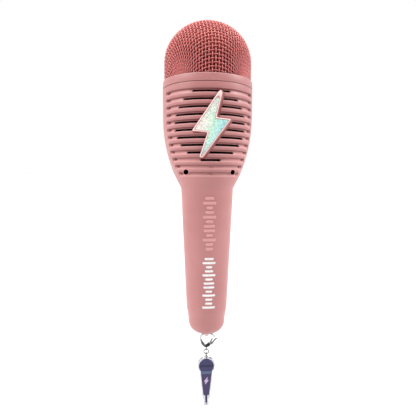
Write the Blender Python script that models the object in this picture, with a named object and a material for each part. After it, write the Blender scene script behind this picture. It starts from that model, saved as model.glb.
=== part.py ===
"""Toy karaoke microphone with a lanyard clasp and a clear charm.

The origin is on the microphone's axis at the middle of the grip. +Z points to the head, and the
speaker grille, the badge and the charm's printed side face -Y. Lengths below are in millimetres
and become metres when a mesh is made.
"""

import math

import bmesh
import bpy
from mathutils import Matrix, Vector

MM = 0.001
GAP = 0.3                                   # clearance between touching pieces

# ---------------------------------------------------------------- casing
BODY_RADIUS = 35.0
BODY_TOP = 127.1                            # seam between the head ring and the casing
FLARE_TOP = 105.0                           # the flare's arc starts here
FLARE_ARC = 112.3                           # its radius
HANDLE_TOP = 50.8
HANDLE_BOTTOM = -46.7                       # seam between the casing and the tail cap
TAIL_RADIUS = 16.6
HANDLE_SLOPE = 0.0453
WALL = 2.6
SPLIT_DEG = 0.4                             # half the gap where the two shells meet
SHELL_COLUMNS = 16

# ---------------------------------------------------------------- grille
GROOVE_COUNT = 12
SLOT_COUNT = 10
FIRST_SLOT_Z = 119.95
GROOVE_PITCH = 5.34
GROOVE_DEPTH = 1.4
SLOT_HALF = 0.7
GROOVE_RISE = 2.0                           # groove's top edge above its slot's middle
GROOVE_SIDE = 0.2                           # height of its sloping sides
GROOVE_SPAN_DEG = 64.0
SPEAKER_Z = 97.3
GRILLE_RADIUS = 26.5                        # the slots' ends follow a circle of this radius

# ---------------------------------------------------------------- badge
BADGE_Z = 97.0
BADGE_FACE = -35.3                          # y of the badge's face at its middle
BADGE_LEAN = 0.06

# ---------------------------------------------------------------- head
MESH_RADIUS = 34.0
DOME_Z = 146.9                              # the dome is an ellipse on a straight skirt
DOME_RISE = 31.5
RING_TOP = 132.7
MESH_FOOT = 129.2
MESH_THICK = 1.0
FOAM_INSET = 1.9                            # foam's outside within the mesh's outside
FOAM_THICK = 7.0

# ---------------------------------------------------------------- rear controls
PAD_Y = 20.6                                # y of the pad's face at its middle
PAD_Z = 19.0
PAD_DEEP = 3.0
PAD_HALF = (6.5, 26.0)
BUTTON_ROWS = (("volume_up", 36.0), ("volume_down", 25.5), ("mode", 14.0), ("power", 2.5))
BUTTON_RADIUS = 4.0
LIGHT_Z = 43.0
BUTTON_TRAVEL = 0.6
PORT_Y = 18.4
PORT_DEEP = 2.4
PORT_Z = -27.0
BOARD_Y = 9.0
BOARD_THICK = 1.2
CELL_Y = -2.9

# ---------------------------------------------------------------- screws
GRILLE_SCREW = (17.6, 63.3)                 # x, z; driven from the front
CASE_SCREW = (26.0, 112.0)                  # x, z; driven from the rear
BOSS_RADIUS = 2.6
SCREW_HEAD_RADIUS = 1.5
SCREW_RADIUS = 0.8

# ---------------------------------------------------------------- clasp and charm
HOOP_Z = -71.3                              # the hoop's wire inside the lug
WIRE = 0.7
PIVOT = (1.8, -80.2)                        # x, z of the lever's pin
EYE_Z = -84.0
EYE_RADIUS = 1.3
RING_Z = -86.5
RING_RADIUS = 2.0
LINK_Z = -90.1
LINK_RADIUS = 2.4
FINE_WIRE = 0.35
CHARM_HOLE_Z = -92.5
CHARM_HALF_THICK = 1.5

ROSE = (0.60, 0.27, 0.26)
ROSE_DARK = (0.45, 0.17, 0.17)
BLACK = (0.012, 0.012, 0.013)
STEEL = (0.75, 0.75, 0.76)


# ================================================================ helpers

def material(name, colour, roughness=0.5, metallic=0.0, alpha=1.0):
    """A Principled material, made once for each name."""
    found = bpy.data.materials.get(name)
    if found:
        return found
    made = bpy.data.materials.new(name)
    made.use_nodes = True
    shader = made.node_tree.nodes["Principled BSDF"]
    shader.inputs["Base Color"].default_value = (*colour, 1.0)
    shader.inputs["Roughness"].default_value = roughness
    shader.inputs["Metallic"].default_value = metallic
    shader.inputs["Alpha"].default_value = alpha
    return made


def finish(name, bm, look, origin=(0, 0, 0), turn=None, smooth=35):
    """Turns a bmesh in millimetres into an object whose origin is at the given point."""
    if turn is not None:
        bmesh.ops.transform(bm, matrix=turn, verts=bm.verts)
    bmesh.ops.translate(bm, verts=bm.verts, vec=-Vector(origin))
    bmesh.ops.scale(bm, verts=bm.verts, vec=(MM, MM, MM))
    bmesh.ops.recalc_face_normals(bm, faces=bm.faces)
    mesh = bpy.data.meshes.new(name)
    bm.to_mesh(mesh)
    bm.free()
    mesh.shade_smooth()
    mesh.set_sharp_from_angle(angle=math.radians(smooth))
    if look:
        mesh.materials.append(look)
    made = bpy.data.objects.new(name, mesh)
    made.location = Vector(origin) * MM
    bpy.context.collection.objects.link(made)
    return made


def tool(made):
    """Marks an object as a cutter or a joined shape, which isn't a piece itself."""
    made.hide_render = True
    made.display_type = "WIRE"
    return made


def combine(target, other, operation):
    """Boolean modifier: the other object cuts the target, or is joined to it."""
    step = target.modifiers.new(operation.title(), "BOOLEAN")
    step.operation = operation
    step.solver = "EXACT"
    step.object = tool(other)


def turned(profile, segments=24, offset=(0, 0, 0), facing=None):
    """A closed (radius, height) outline turned about Z, then laid along another axis."""
    bm = bmesh.new()
    rings = []
    for radius, height in profile:
        if radius < 1e-6:
            rings.append([bm.verts.new((0, 0, height))])
            continue
        rings.append([
            bm.verts.new((
                radius * math.cos(2 * math.pi * i / segments),
                radius * math.sin(2 * math.pi * i / segments),
                height,
            ))
            for i in range(segments)
        ])
    for ring, other in zip(rings, rings[1:] + rings[:1]):
        for i in range(segments):
            j = (i + 1) % segments
            corners = [ring[i % len(ring)], ring[j % len(ring)]]
            corners += [other[j % len(other)], other[i % len(other)]]
            face = list(dict.fromkeys(corners))
            if len(face) > 2:
                bm.faces.new(face)
    if facing is not None:
        bmesh.ops.transform(bm, matrix=facing, verts=bm.verts)
    bmesh.ops.translate(bm, verts=bm.verts, vec=offset)
    return bm


FRONT = Matrix.Rotation(math.radians(90), 4, "X")       # +Z of a turned outline becomes -Y
REAR = Matrix.Rotation(math.radians(-90), 4, "X")       # +Z of a turned outline becomes +Y


def disc(radius, low, high):
    """Outline of a plain cylinder."""
    return [(0, low), (radius, low), (radius, high), (0, high)]


def tube_outline(inner, outer, low, high):
    """Outline of a plain ring."""
    return [(inner, low), (outer, low), (outer, high), (inner, high)]


def prism(outline, low, high, axis="Y"):
    """A flat outline carried from low to high along an axis. Y outlines are (x, z)."""
    bm = bmesh.new()
    layers = []
    for level in (low, high):
        if axis == "Y":
            layers.append([bm.verts.new((a, level, b)) for a, b in outline])
        elif axis == "X":
            layers.append([bm.verts.new((level, a, b)) for a, b in outline])
        else:
            layers.append([bm.verts.new((a, b, level)) for a, b in outline])
    bm.faces.new(layers[0])
    bm.faces.new(layers[1])
    count = len(outline)
    for i in range(count):
        j = (i + 1) % count
        bm.faces.new((layers[0][i], layers[0][j], layers[1][j], layers[1][i]))
    return bm


def rounded(half_a, half_b, corner, centre=(0, 0), steps=4):
    """Rounded rectangle outline."""
    points = []
    for quarter, (sa, sb) in enumerate(((1, 1), (-1, 1), (-1, -1), (1, -1))):
        for i in range(steps + 1):
            angle = math.radians(90 * quarter + 90 * i / steps)
            points.append((
                centre[0] + sa * (half_a - corner) + corner * math.cos(angle),
                centre[1] + sb * (half_b - corner) + corner * math.sin(angle),
            ))
    return points


def circle(centre, radius, segments=16, start=0.0):
    """Round outline."""
    turns = [start + 2 * math.pi * i / segments for i in range(segments)]
    return [(centre[0] + radius * math.cos(t), centre[1] + radius * math.sin(t)) for t in turns]


def cross_outline(x, z, reach, half):
    """Plus sign, for a screw's recess."""
    corners = [
        (half, reach), (half, half), (reach, half), (reach, -half), (half, -half), (half, -reach),
    ]
    return [(x + a, z + b) for a, b in corners] + [(x - a, z - b) for a, b in corners]


def wire(path, radius, flat_normal, closed=False, segments=8):
    """Round wire along a path that lies in one plane."""
    bm = bmesh.new()
    normal = Vector(flat_normal)
    points = [Vector(p) for p in path]
    count = len(points)
    rings = []
    for i, point in enumerate(points):
        before = points[i - 1] if closed or i else point
        after = points[(i + 1) % count] if closed or i < count - 1 else point
        side = (after - before).normalized().cross(normal)
        rings.append([
            bm.verts.new(point + radius * (math.cos(t) * side + math.sin(t) * normal))
            for t in (2 * math.pi * k / segments for k in range(segments))
        ])
    pairs = zip(rings, rings[1:] + rings[:1]) if closed else zip(rings, rings[1:])
    for ring, other in pairs:
        for k in range(segments):
            m = (k + 1) % segments
            bm.faces.new((ring[k], ring[m], other[m], other[k]))
    if not closed:
        bm.faces.new(rings[0])
        bm.faces.new(rings[-1])
    return bm


def ring_path(centre, radius, plane, segments=18):
    """Points of a circle in the XZ or the YZ plane."""
    points = []
    for i in range(segments):
        a = radius * math.cos(2 * math.pi * i / segments)
        b = radius * math.sin(2 * math.pi * i / segments)
        points.append(centre + (Vector((a, 0, b)) if plane == "XZ" else Vector((0, a, b))))
    return points


def smooth_path(points, steps=3):
    """Catmull-Rom curve through (x, z) points, in the XZ plane."""
    ends = [points[0]] + list(points) + [points[-1]]
    path = []
    for p0, p1, p2, p3 in zip(ends, ends[1:], ends[2:], ends[3:]):
        for i in range(steps):
            t = i / steps
            path.append([
                0.5 * (2 * b + (c - a) * t + (2 * a - 5 * b + 4 * c - d) * t ** 2
                       + (3 * b - a - 3 * c + d) * t ** 3)
                for a, b, c, d in zip(p0, p1, p2, p3)
            ])
    path.append(points[-1])
    return [(x, 0, z) for x, z in path]


# ================================================================ casing

def casing_radius(z):
    """Outer radius of the casing at a height."""
    if z > FLARE_TOP:
        return BODY_RADIUS
    if z > HANDLE_TOP:
        drop = FLARE_TOP - z
        return BODY_RADIUS - FLARE_ARC + math.sqrt(FLARE_ARC ** 2 - drop ** 2)
    return TAIL_RADIUS + HANDLE_SLOPE * (z - HANDLE_BOTTOM)


def slot_z(k):
    """Height of the middle of slot k."""
    return FIRST_SLOT_Z - GROOVE_PITCH * k


def slot_angle(k):
    """Angle from the front at which slot k ends, in degrees."""
    z = slot_z(k)
    reach = math.sqrt(GRILLE_RADIUS ** 2 - (z - SPEAKER_Z) ** 2)
    return math.degrees(math.asin(reach / casing_radius(z)))


def shell(middle_deg, grooved):
    """Half of the casing: an outer and an inner skin, closed along their edges."""
    bm = bmesh.new()
    half = 90 - SPLIT_DEG
    step = 2 * half / SHELL_COLUMNS
    angles = [-half + step * i for i in range(SHELL_COLUMNS + 1)]

    def ring(z, radius_at, slot=None):
        verts = []
        for angle in angles:
            place = angle
            if slot is not None and abs(abs(angle) - slot_angle(slot)) < step / 2:
                place = math.copysign(slot_angle(slot), angle)
            radius = radius_at(angle)
            turn = math.radians(place + middle_deg)
            verts.append(bm.verts.new((radius * math.sin(turn), -radius * math.cos(turn), z)))
        return verts

    def groove(z, sunk):
        outer = casing_radius(z)
        return lambda a: outer - (GROOVE_DEPTH if sunk and abs(a) < GROOVE_SPAN_DEG else 0)

    outer_rows, inner_rows = [], []
    top = BODY_TOP - GAP
    outer_rows.append((ring(top, groove(top, False)), None))
    inner_rows.append((ring(top, lambda a: BODY_RADIUS - WALL), None))
    if grooved:
        for k in range(GROOVE_COUNT):
            z = slot_z(k)
            slot = k if k < SLOT_COUNT else None
            for height, sunk in (
                (z + GROOVE_RISE, False), (z + GROOVE_RISE - GROOVE_SIDE, True),
            ):
                outer_rows.append((ring(height, groove(height, sunk)), None))
            for height, opening in ((z + SLOT_HALF, slot), (z - SLOT_HALF, None)):
                outer_rows.append((ring(height, groove(height, True), slot), opening))
                if slot is not None:
                    inner = casing_radius(height) - WALL
                    inner_rows.append((ring(height, lambda a, r=inner: r, slot), opening))
            height = z - SLOT_HALF - GROOVE_SIDE
            outer_rows.append((ring(height, groove(height, False)), None))
        rest = [57.0, HANDLE_TOP + 0.3]
    else:
        rest = [FLARE_TOP, 98.0, 88.0, 78.0, 69.0, 60.0, HANDLE_TOP + 0.3]
    for z in rest + [44.0, HANDLE_BOTTOM + GAP]:
        outer_rows.append((ring(z, groove(z, False)), None))
        inner_rows.append((ring(z, lambda a, r=casing_radius(z) - WALL: r), None))

    for rows in (outer_rows, inner_rows):
        for (upper, slot), (lower, _) in zip(rows, rows[1:]):
            for i in range(SHELL_COLUMNS):
                if slot is None or abs(angles[i] + step / 2) > slot_angle(slot) + 0.01:
                    bm.faces.new((upper[i], upper[i + 1], lower[i + 1], lower[i]))

    openings = zip(
        [(a[0], b[0]) for a, b in zip(outer_rows, outer_rows[1:]) if a[1] is not None],
        [(a[0], b[0]) for a, b in zip(inner_rows, inner_rows[1:]) if a[1] is not None],
    )
    for k, ((up_out, low_out), (up_in, low_in)) in enumerate(openings):
        inside = [
            i for i in range(SHELL_COLUMNS)
            if abs(angles[i] + step / 2) <= slot_angle(k) + 0.01
        ]
        first, last = inside[0], inside[-1] + 1
        for i in inside:
            bm.faces.new((up_out[i], up_out[i + 1], up_in[i + 1], up_in[i]))
            bm.faces.new((low_out[i], low_out[i + 1], low_in[i + 1], low_in[i]))
        for i in (first, last):
            bm.faces.new((up_out[i], low_out[i], low_in[i], up_in[i]))

    for end in (0, -1):
        outer, inner = outer_rows[end][0], inner_rows[end][0]
        for i in range(SHELL_COLUMNS):
            bm.faces.new((outer[i], outer[i + 1], inner[i + 1], inner[i]))
    for side in (0, -1):
        edge = [row[side] for row, _ in outer_rows] + [row[side] for row, _ in reversed(inner_rows)]
        bm.faces.new(edge)
    return bm


def along_y(outlines):
    """Turned outlines (radius, y) standing on (x, z) points, all in one mesh."""
    bm = bmesh.new()
    for outline, x, z in outlines:
        made = turned(outline, 14, (x, 0, z), REAR)
        scratch = bpy.data.meshes.new("scratch")
        made.to_mesh(scratch)
        made.free()
        bm.from_mesh(scratch)
        bpy.data.meshes.remove(scratch)
    return bm


def mirrored(outline, place):
    """The same outline at x and at -x."""
    x, z = place
    return [(outline, x, z), (outline, -x, z)]


def stepped_hole(wide, narrow, mouth, step, end):
    """Outline of a screw's hole: wide from its mouth to the step, then narrow."""
    return [(0, mouth), (wide, mouth), (wide, step), (narrow, step), (narrow, end), (0, end)]


HEAD_BORE = SCREW_HEAD_RADIUS + 0.2
SHANK_BORE = SCREW_RADIUS + 0.2
PILOT_BORE = SCREW_RADIUS + 0.1


def front_shell():
    """Front half: twelve grooves, ten of them slotted through, and two screw holes."""
    made = finish("front_shell", shell(0, True), material("rose_shell", ROSE, 0.45), smooth=25)
    bosses = mirrored(disc(BOSS_RADIUS, -14.2, -1.0), GRILLE_SCREW)
    bosses += mirrored(disc(BOSS_RADIUS, -17.0, -0.6), CASE_SCREW)
    combine(made, finish("front_bosses", along_y(bosses), None), "UNION")
    holes = mirrored(stepped_hole(HEAD_BORE, SHANK_BORE, -30.0, -9.7, 0.0), GRILLE_SCREW)
    holes += mirrored(disc(PILOT_BORE, -10.0, 0.0), CASE_SCREW)
    combine(made, finish("front_holes", along_y(holes), None), "DIFFERENCE")


def rear_shell():
    """Rear half: openings for the control pad and the port, bosses and counterbores."""
    made = finish("rear_shell", shell(180, False), material("rose_shell_rear", ROSE, 0.45))
    pad = prism(rounded(PAD_HALF[0] - 1.0, PAD_HALF[1] - 1.0, 4.0, (0, PAD_Z)), 8.0, 30.0)
    combine(made, finish("pad_opening", pad, None), "DIFFERENCE")
    port = prism(rounded(5.2, 2.4, 2.2, (0, PORT_Z)), 8.0, 30.0)
    combine(made, finish("port_opening", port, None), "DIFFERENCE")
    bosses = mirrored(disc(BOSS_RADIUS, 1.0, 14.2), GRILLE_SCREW)
    bosses += mirrored(disc(BOSS_RADIUS, 0.6, 18.6), CASE_SCREW)
    combine(made, finish("rear_bosses", along_y(bosses), None), "UNION")
    holes = mirrored(disc(PILOT_BORE, 0.0, 9.0), GRILLE_SCREW)
    holes += mirrored(stepped_hole(HEAD_BORE, SHANK_BORE, 36.0, 11.7, 0.0), CASE_SCREW)
    combine(made, finish("rear_holes", along_y(holes), None), "DIFFERENCE")


def screws():
    """Two screws behind the front holes and two driven from the rear."""
    look = material("screw_steel", (0.32, 0.32, 0.33), 0.35, 1.0)
    outline = [
        (0, 0), (SCREW_RADIUS, 0), (SCREW_RADIUS, 9.5), (SCREW_HEAD_RADIUS, 9.8),
        (SCREW_HEAD_RADIUS, 10.6), (1.1, 11.2), (0, 11.3),
    ]
    places = (
        ("grille_screw", GRILLE_SCREW, -0.5, FRONT), ("case_screw", CASE_SCREW, 2.5, REAR),
    )
    for name, (x, z), tip, facing in places:
        for side, label in ((-1, "left"), (1, "right")):
            body = turned(outline, 12, (side * x, tip, z), facing)
            made = finish(f"{name}_{label}", body, look, (side * x, tip, z))
            top = tip + math.copysign(11.3, tip)
            recess = prism(cross_outline(side * x, z, 0.9, 0.22), top - 0.6, top + 0.6)
            combine(made, finish(f"{name}_{label}_recess", recess, None), "DIFFERENCE")


def tail_cap():
    """Round end cap with the lug that the clasp hooks into."""
    foot = -69.6
    shoulder = -57.0
    shoulder_radius = 15.0
    outer = [(casing_radius(HANDLE_BOTTOM) - 0.05, HANDLE_BOTTOM - GAP), (15.5, -54.0)]
    for i in range(8):
        t = i / 8
        sweep = (1 - t ** 2.3) ** (1 / 2.3)
        outer.append((shoulder_radius * sweep, shoulder + (foot - shoulder) * t))
    outer += [(5.6, foot), (0, foot)]
    inner = [(0, foot + 2.2), (8.0, foot + 2.2), (11.6, -61.0), (12.7, -54.0)]
    inner += [(13.4, HANDLE_BOTTOM - GAP)]
    made = finish("tail_cap", turned(outer + inner, 20), material("rose_cap", ROSE, 0.45))
    lug = prism(rounded(1.9, 2.9, 1.8, (0, -70.4), 5), -1.5, 1.5, "X")
    combine(made, finish("lug", lug, None), "UNION")
    hole = prism(circle((0, HOOP_Z - 0.1), 1.15, 16), -3, 3, "X")
    combine(made, finish("lug_hole", hole, None), "DIFFERENCE")


# ================================================================ head

def dome(inset, steps):
    """Half outline of the head's dome, moved inwards, from its foot to its top."""
    radius, rise = MESH_RADIUS - inset, DOME_RISE - inset
    turns = [math.pi / 2 * i / steps for i in range(steps)]
    curve = [(radius * math.cos(a), DOME_Z + rise * math.sin(a)) for a in turns]
    return [(radius, MESH_FOOT)] + curve + [(0, DOME_Z + rise)]


def head():
    """Wire mesh, foam, the ring that holds them, and the microphone capsule."""
    segments = 24
    mesh = dome(0.0, 7) + dome(MESH_THICK, 7)[::-1]
    finish("head_mesh", turned(mesh, segments), material("mesh_pink", (0.55, 0.2, 0.2), 0.4, 0.3))
    foam = dome(FOAM_INSET, 5) + dome(FOAM_INSET + FOAM_THICK, 5)[::-1]
    finish("head_foam", turned(foam, 20), material("red_foam", (0.55, 0.05, 0.04), 0.95))

    ring = [
        (MESH_RADIUS + GAP, MESH_FOOT - 0.6), (MESH_RADIUS + GAP, RING_TOP - 0.3),
        (MESH_RADIUS + 0.5, RING_TOP), (BODY_RADIUS - 0.35, RING_TOP - 0.1),
        (BODY_RADIUS - 0.1, RING_TOP - 0.6), (BODY_RADIUS, BODY_TOP), (24.0, BODY_TOP),
        (24.0, MESH_FOOT - 0.6),
    ]
    finish("head_ring", turned(ring, segments), material("rose_ring", ROSE, 0.42))

    carrier = tube_outline(5.6, 23.0, MESH_FOOT + 0.1, MESH_FOOT + 1.5)
    finish("capsule_carrier", turned(carrier, 20), material("carrier_black", BLACK, 0.6))
    holder = [
        (5.2, MESH_FOOT - 1.6), (5.2, MESH_FOOT + 2.0), (7.4, MESH_FOOT + 2.0),
        (7.4, MESH_FOOT + 7.0), (5.2, MESH_FOOT + 8.2), (4.6, MESH_FOOT + 8.2),
        (4.6, MESH_FOOT + 1.2), (2.0, MESH_FOOT + 1.2), (2.0, MESH_FOOT - 1.6),
    ]
    finish("capsule_holder", turned(holder, 16), material("holder_rubber", (0.03, 0.03, 0.03), 0.8))
    capsule = disc(4.3, MESH_FOOT + 1.5, MESH_FOOT + 8.0)
    finish("mic_capsule", turned(capsule, 16), material("capsule_metal", STEEL, 0.3, 1.0))


# ================================================================ speaker

def speaker():
    """Two-inch speaker behind the slots, and the cloth that hides it. Outlines face -Y."""
    def piece(name, outline, look, segments=20):
        centre = (0, 0, SPEAKER_Z)
        finish(name, turned(outline, segments, centre, FRONT), look, centre)

    piece("speaker_cloth", disc(24.0, 19.5, 19.8), material("cloth_black", BLACK, 0.95))
    piece("speaker_gasket", tube_outline(22.4, 24.6, 18.3, 19.2), material("gasket", BLACK, 0.9))
    basket = [
        (24.8, 17.0), (24.8, 18.0), (22.2, 18.0), (21.8, 16.4), (13.6, 5.2), (7.6, 5.2), (7.6, 4.2),
        (14.4, 4.2), (22.8, 15.8), (23.0, 17.0),
    ]
    piece("speaker_basket", basket, material("basket_steel", (0.2, 0.2, 0.21), 0.4, 1.0))
    roll = [(21.2, 17.2), (20.4, 18.6), (19.2, 18.9), (18.2, 18.0), (18.2, 17.4), (19.3, 18.2),
            (20.2, 17.9), (20.8, 16.9)]
    piece("speaker_surround", roll, material("surround_rubber", (0.02, 0.02, 0.02), 0.7))
    cone = [(17.9, 17.4), (7.9, 9.4), (7.9, 8.8), (17.9, 16.8)]
    piece("speaker_cone", cone, material("cone_paper", (0.03, 0.03, 0.03), 0.9))
    cap = [(7.5, 9.4), (6.2, 11.2), (3.4, 12.4), (0, 12.8), (0, 12.2), (3.1, 11.8), (5.6, 10.7),
           (6.8, 9.1)]
    piece("dust_cap", cap, material("dust_cap", (0.04, 0.04, 0.04), 0.6))
    coil = tube_outline(6.3, 7.2, -1.0, 8.6)
    piece("voice_coil", coil, material("coil_copper", (0.55, 0.25, 0.12), 0.4, 1.0), 16)
    magnet = [
        (0, -5.0), (15.5, -5.0), (15.5, 3.9), (7.6, 3.9), (7.6, -1.6), (5.9, -1.6), (5.9, 5.0),
        (0, 5.0),
    ]
    piece("speaker_magnet", magnet, material("magnet", (0.12, 0.12, 0.13), 0.45, 0.8))


# ================================================================ electronics and controls

def electronics():
    """Board with its switches and socket, and the cell in its cradle."""
    board = prism(rounded(9.0, 41.5, 1.0, (0, 3.5), 2), BOARD_Y, BOARD_Y + BOARD_THICK)
    finish("main_board", board, material("board_green", (0.02, 0.16, 0.07), 0.5))
    face = BOARD_Y + BOARD_THICK + 0.1
    chip = prism(rounded(3.0, 3.0, 0.3, (-3.5, -10.0), 1), face, face + 1.0)
    finish("audio_chip", chip, material("chip_black", BLACK, 0.5))
    for name, z in BUTTON_ROWS:
        base = prism(rounded(2.3, 2.3, 0.4, (0, z), 1), face, face + 3.2)
        finish(f"{name}_switch", base, material("switch_body", (0.1, 0.1, 0.11), 0.4))
    shell_out = rounded(4.4, 1.6, 1.5, (0, PORT_Z), 4)
    socket = finish("usb_socket", prism(shell_out, face, PORT_Y - 0.5),
                    material("socket_steel", STEEL, 0.3, 1.0))
    bore = prism(rounded(4.1, 1.3, 1.25, (0, PORT_Z), 4), face + 1.2, PORT_Y + 1)
    combine(socket, finish("socket_bore", bore, None), "DIFFERENCE")
    tongue = prism(rounded(3.2, 0.35, 0.2, (0, PORT_Z), 1), face + 1.4, PORT_Y - 1.3)
    finish("usb_tongue", tongue, material("tongue_black", BLACK, 0.5))

    cell = [
        (0, 0), (8.7, 0), (9.1, 0.5), (9.1, 64.3), (8.2, 65.0), (2.8, 65.0), (2.8, 66.0),
        (0, 66.0),
    ]
    look = material("cell_wrap", (0.03, 0.16, 0.4), 0.35)
    finish("battery_cell", turned(cell, 20, (0, CELL_Y, -43.0)), look)
    cradle = []
    for radius, turns in ((10.2, range(9)), (9.4, reversed(range(9)))):
        for i in turns:
            angle = math.radians(200 + 140 * i / 8)
            cradle.append((radius * math.cos(angle), CELL_Y + radius * math.sin(angle)))
    finish("battery_cradle", prism(cradle, -38.0, 16.0, "Z"), material("cradle_black", BLACK, 0.6))


def pad_face(z):
    """y of the control pad's face, which leans with the handle."""
    return PAD_Y + HANDLE_SLOPE * (z - PAD_Z)


def controls():
    """Control pad with four sprung buttons and a light, and the port's flat surround."""
    block = prism(rounded(*PAD_HALF, 5.0, (0, PAD_Z), 6), PAD_Y - PAD_DEEP, PAD_Y)
    for vertex in block.verts:
        vertex.co.y += HANDLE_SLOPE * (vertex.co.z - PAD_Z)
    pad = finish("control_pad", block, material("pad_rose", ROSE_DARK, 0.4))
    low, high = -44.0, 49.0
    cone = [(0, low), (casing_radius(low) + 0.2, low), (casing_radius(high) + 0.2, high), (0, high)]
    seat = finish("handle_seat", turned(cone, 40), None)
    combine(pad, seat, "DIFFERENCE")
    for name, z in BUTTON_ROWS:
        hole = turned(disc(BUTTON_RADIUS + 0.25, 12.0, 24.0), 20, (0, 0, z), REAR)
        combine(pad, finish(f"{name}_hole", hole, None), "DIFFERENCE")
    light_hole = turned(disc(1.15, 12.0, 24.0), 12, (0, 0, LIGHT_Z), REAR)
    combine(pad, finish("light_hole", light_hole, None), "DIFFERENCE")

    stem_foot = BOARD_Y + BOARD_THICK + 3.3 + BUTTON_TRAVEL + 0.15
    look = material("button_white", (0.85, 0.82, 0.82), 0.4)
    for name, z in BUTTON_ROWS:
        face = pad_face(z)
        cap = [
            (0, stem_foot), (1.4, stem_foot), (1.4, face - 2.4), (BUTTON_RADIUS, face - 2.4),
            (BUTTON_RADIUS, face + 0.7), (BUTTON_RADIUS - 0.5, face + 1.1), (0, face + 1.2),
        ]
        finish(f"{name}_button", turned(cap, 20, (0, 0, z), REAR), look, (0, face, z))
    face = pad_face(LIGHT_Z)
    lens = [(0, 12.0), (0.9, 12.0), (0.9, face + 0.1), (0.5, face + 0.35), (0, face + 0.4)]
    look = material("light_lens", (0.7, 0.9, 1.0), 0.1)
    finish("status_light", turned(lens, 12, (0, 0, LIGHT_Z), REAR), look)

    block = prism(rounded(7.0, 4.4, 3.6, (0, PORT_Z), 5), PORT_Y - PORT_DEEP, PORT_Y)
    surround = finish("port_surround", block, material("port_rose", ROSE_DARK, 0.4))
    combine(surround, seat, "DIFFERENCE")
    mouth = prism(rounded(4.8, 2.0, 1.9, (0, PORT_Z), 4), 8.0, 30.0)
    combine(surround, finish("port_mouth", mouth, None), "DIFFERENCE")


# ================================================================ badge

def badge_outline(inset=0.0):
    """Lightning bolt, as clockwise (x, z) corners, optionally moved inwards."""
    corners = [
        (4.9, 22.6), (6.2, 23.5), (7.6, 21.8), (3.5, 4.7), (14.1, 3.7), (-6.2, -23.7),
        (-8.6, -23.1), (-2.8, -5.8), (-14.0, -5.0),
    ]
    moved = []
    count = len(corners)
    for i in range(count):
        before = Vector(corners[i]) - Vector(corners[i - 1])
        after = Vector(corners[(i + 1) % count]) - Vector(corners[i])
        inward = Vector((before.y, -before.x)).normalized()
        turned_in = Vector((after.y, -after.x)).normalized()
        shift = (inward + turned_in) / (1 + inward.dot(turned_in)) * inset
        moved.append((corners[i][0] + shift.x, corners[i][1] + shift.y + BADGE_Z))
    return moved


def tilted(bm):
    """Leans the badge back so that it follows the narrowing casing."""
    for vertex in bm.verts:
        vertex.co.y -= BADGE_LEAN * (vertex.co.z - BADGE_Z)
    return bm


def badge():
    """Bolt-shaped frame standing on the ribs, with a foil insert."""
    origin = (0, BADGE_FACE, BADGE_Z)
    look = material("badge_rose", (0.75, 0.4, 0.38), 0.35)
    made = finish("badge_frame", tilted(prism(badge_outline(), -28.0, BADGE_FACE)), look, origin)
    profile = [(casing_radius(z) + GAP, z) for z in (60, 70, 78, 86, 92, 98, 103, 108, 130)]
    seat = turned([(0, 60)] + profile + [(0, 130)], 48)
    combine(made, finish("badge_seat", seat, None), "DIFFERENCE")
    tray = tilted(prism(badge_outline(0.9), BADGE_FACE + 0.6, BADGE_FACE - 2))
    combine(made, finish("badge_tray", tray, None), "DIFFERENCE")
    foil = tilted(prism(badge_outline(1.15), BADGE_FACE + 0.5, BADGE_FACE + 0.15))
    finish("badge_foil", foil, material("foil", (0.7, 0.95, 0.85), 0.2, 0.6), origin)


# ================================================================ clasp and charm

def clasp():
    """Lobster clasp: the hook, its sprung lever, the lever's pin and the swivel eye."""
    steel = material("clasp_steel", STEEL, 0.15, 1.0)
    origin = (0, 0, HOOP_Z)
    hook = [
        (-0.9, -81.4), (-3.2, -79.9), (-4.7, -77.4), (-5.2, -74.8), (-4.6, -72.7), (-2.8, -71.5),
        (0.0, HOOP_Z), (3.6, -71.5), (5.9, -72.5), (6.8, -74.3),
    ]
    made = finish("clasp_hook", wire(smooth_path(hook), WIRE, (0, 1, 0)), steel, origin)
    base = prism([(-1.6, -82.2), (1.4, -82.2), (2.9, -81.2), (3.0, -79.9), (1.9, -79.0),
                  (0.95, -79.6), (0.9, -80.8), (-1.6, -80.8)], -1.3, 1.3)
    combine(made, finish("clasp_base", base, None), "UNION")
    slot = prism(rounded(1.5, 1.8, 0.5, (2.4, -79.4), 2), -0.75, 0.75)
    combine(made, finish("clasp_slot", slot, None), "DIFFERENCE")
    bore = turned(disc(0.6, -84, -79.5), 12)
    combine(made, finish("clasp_bore", bore, None), "DIFFERENCE")
    pin_hole = prism(circle(PIVOT, 0.42, 12), -3, 3)
    combine(made, finish("pin_hole", pin_hole, None), "DIFFERENCE")

    pivot = (PIVOT[0], 0, PIVOT[1])
    finish("clasp_pin", prism(circle(PIVOT, 0.34, 12), -1.45, 1.45), steel, pivot)
    lever = [
        (1.2, -80.9), (2.6, -80.9), (4.6, -79.4), (7.4, -76.9), (9.2, -74.6), (8.7, -74.2),
        (6.4, -76.5), (5.4, -77.0), (6.9, -75.45), (6.1, -75.2), (3.6, -77.6), (1.3, -79.5),
    ]
    arm = finish("clasp_lever", prism(lever, -0.55, 0.55), steel, pivot)
    eye = prism(circle(PIVOT, 0.44, 12), -3, 3)
    combine(arm, finish("lever_eye", eye, None), "DIFFERENCE")


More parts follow.
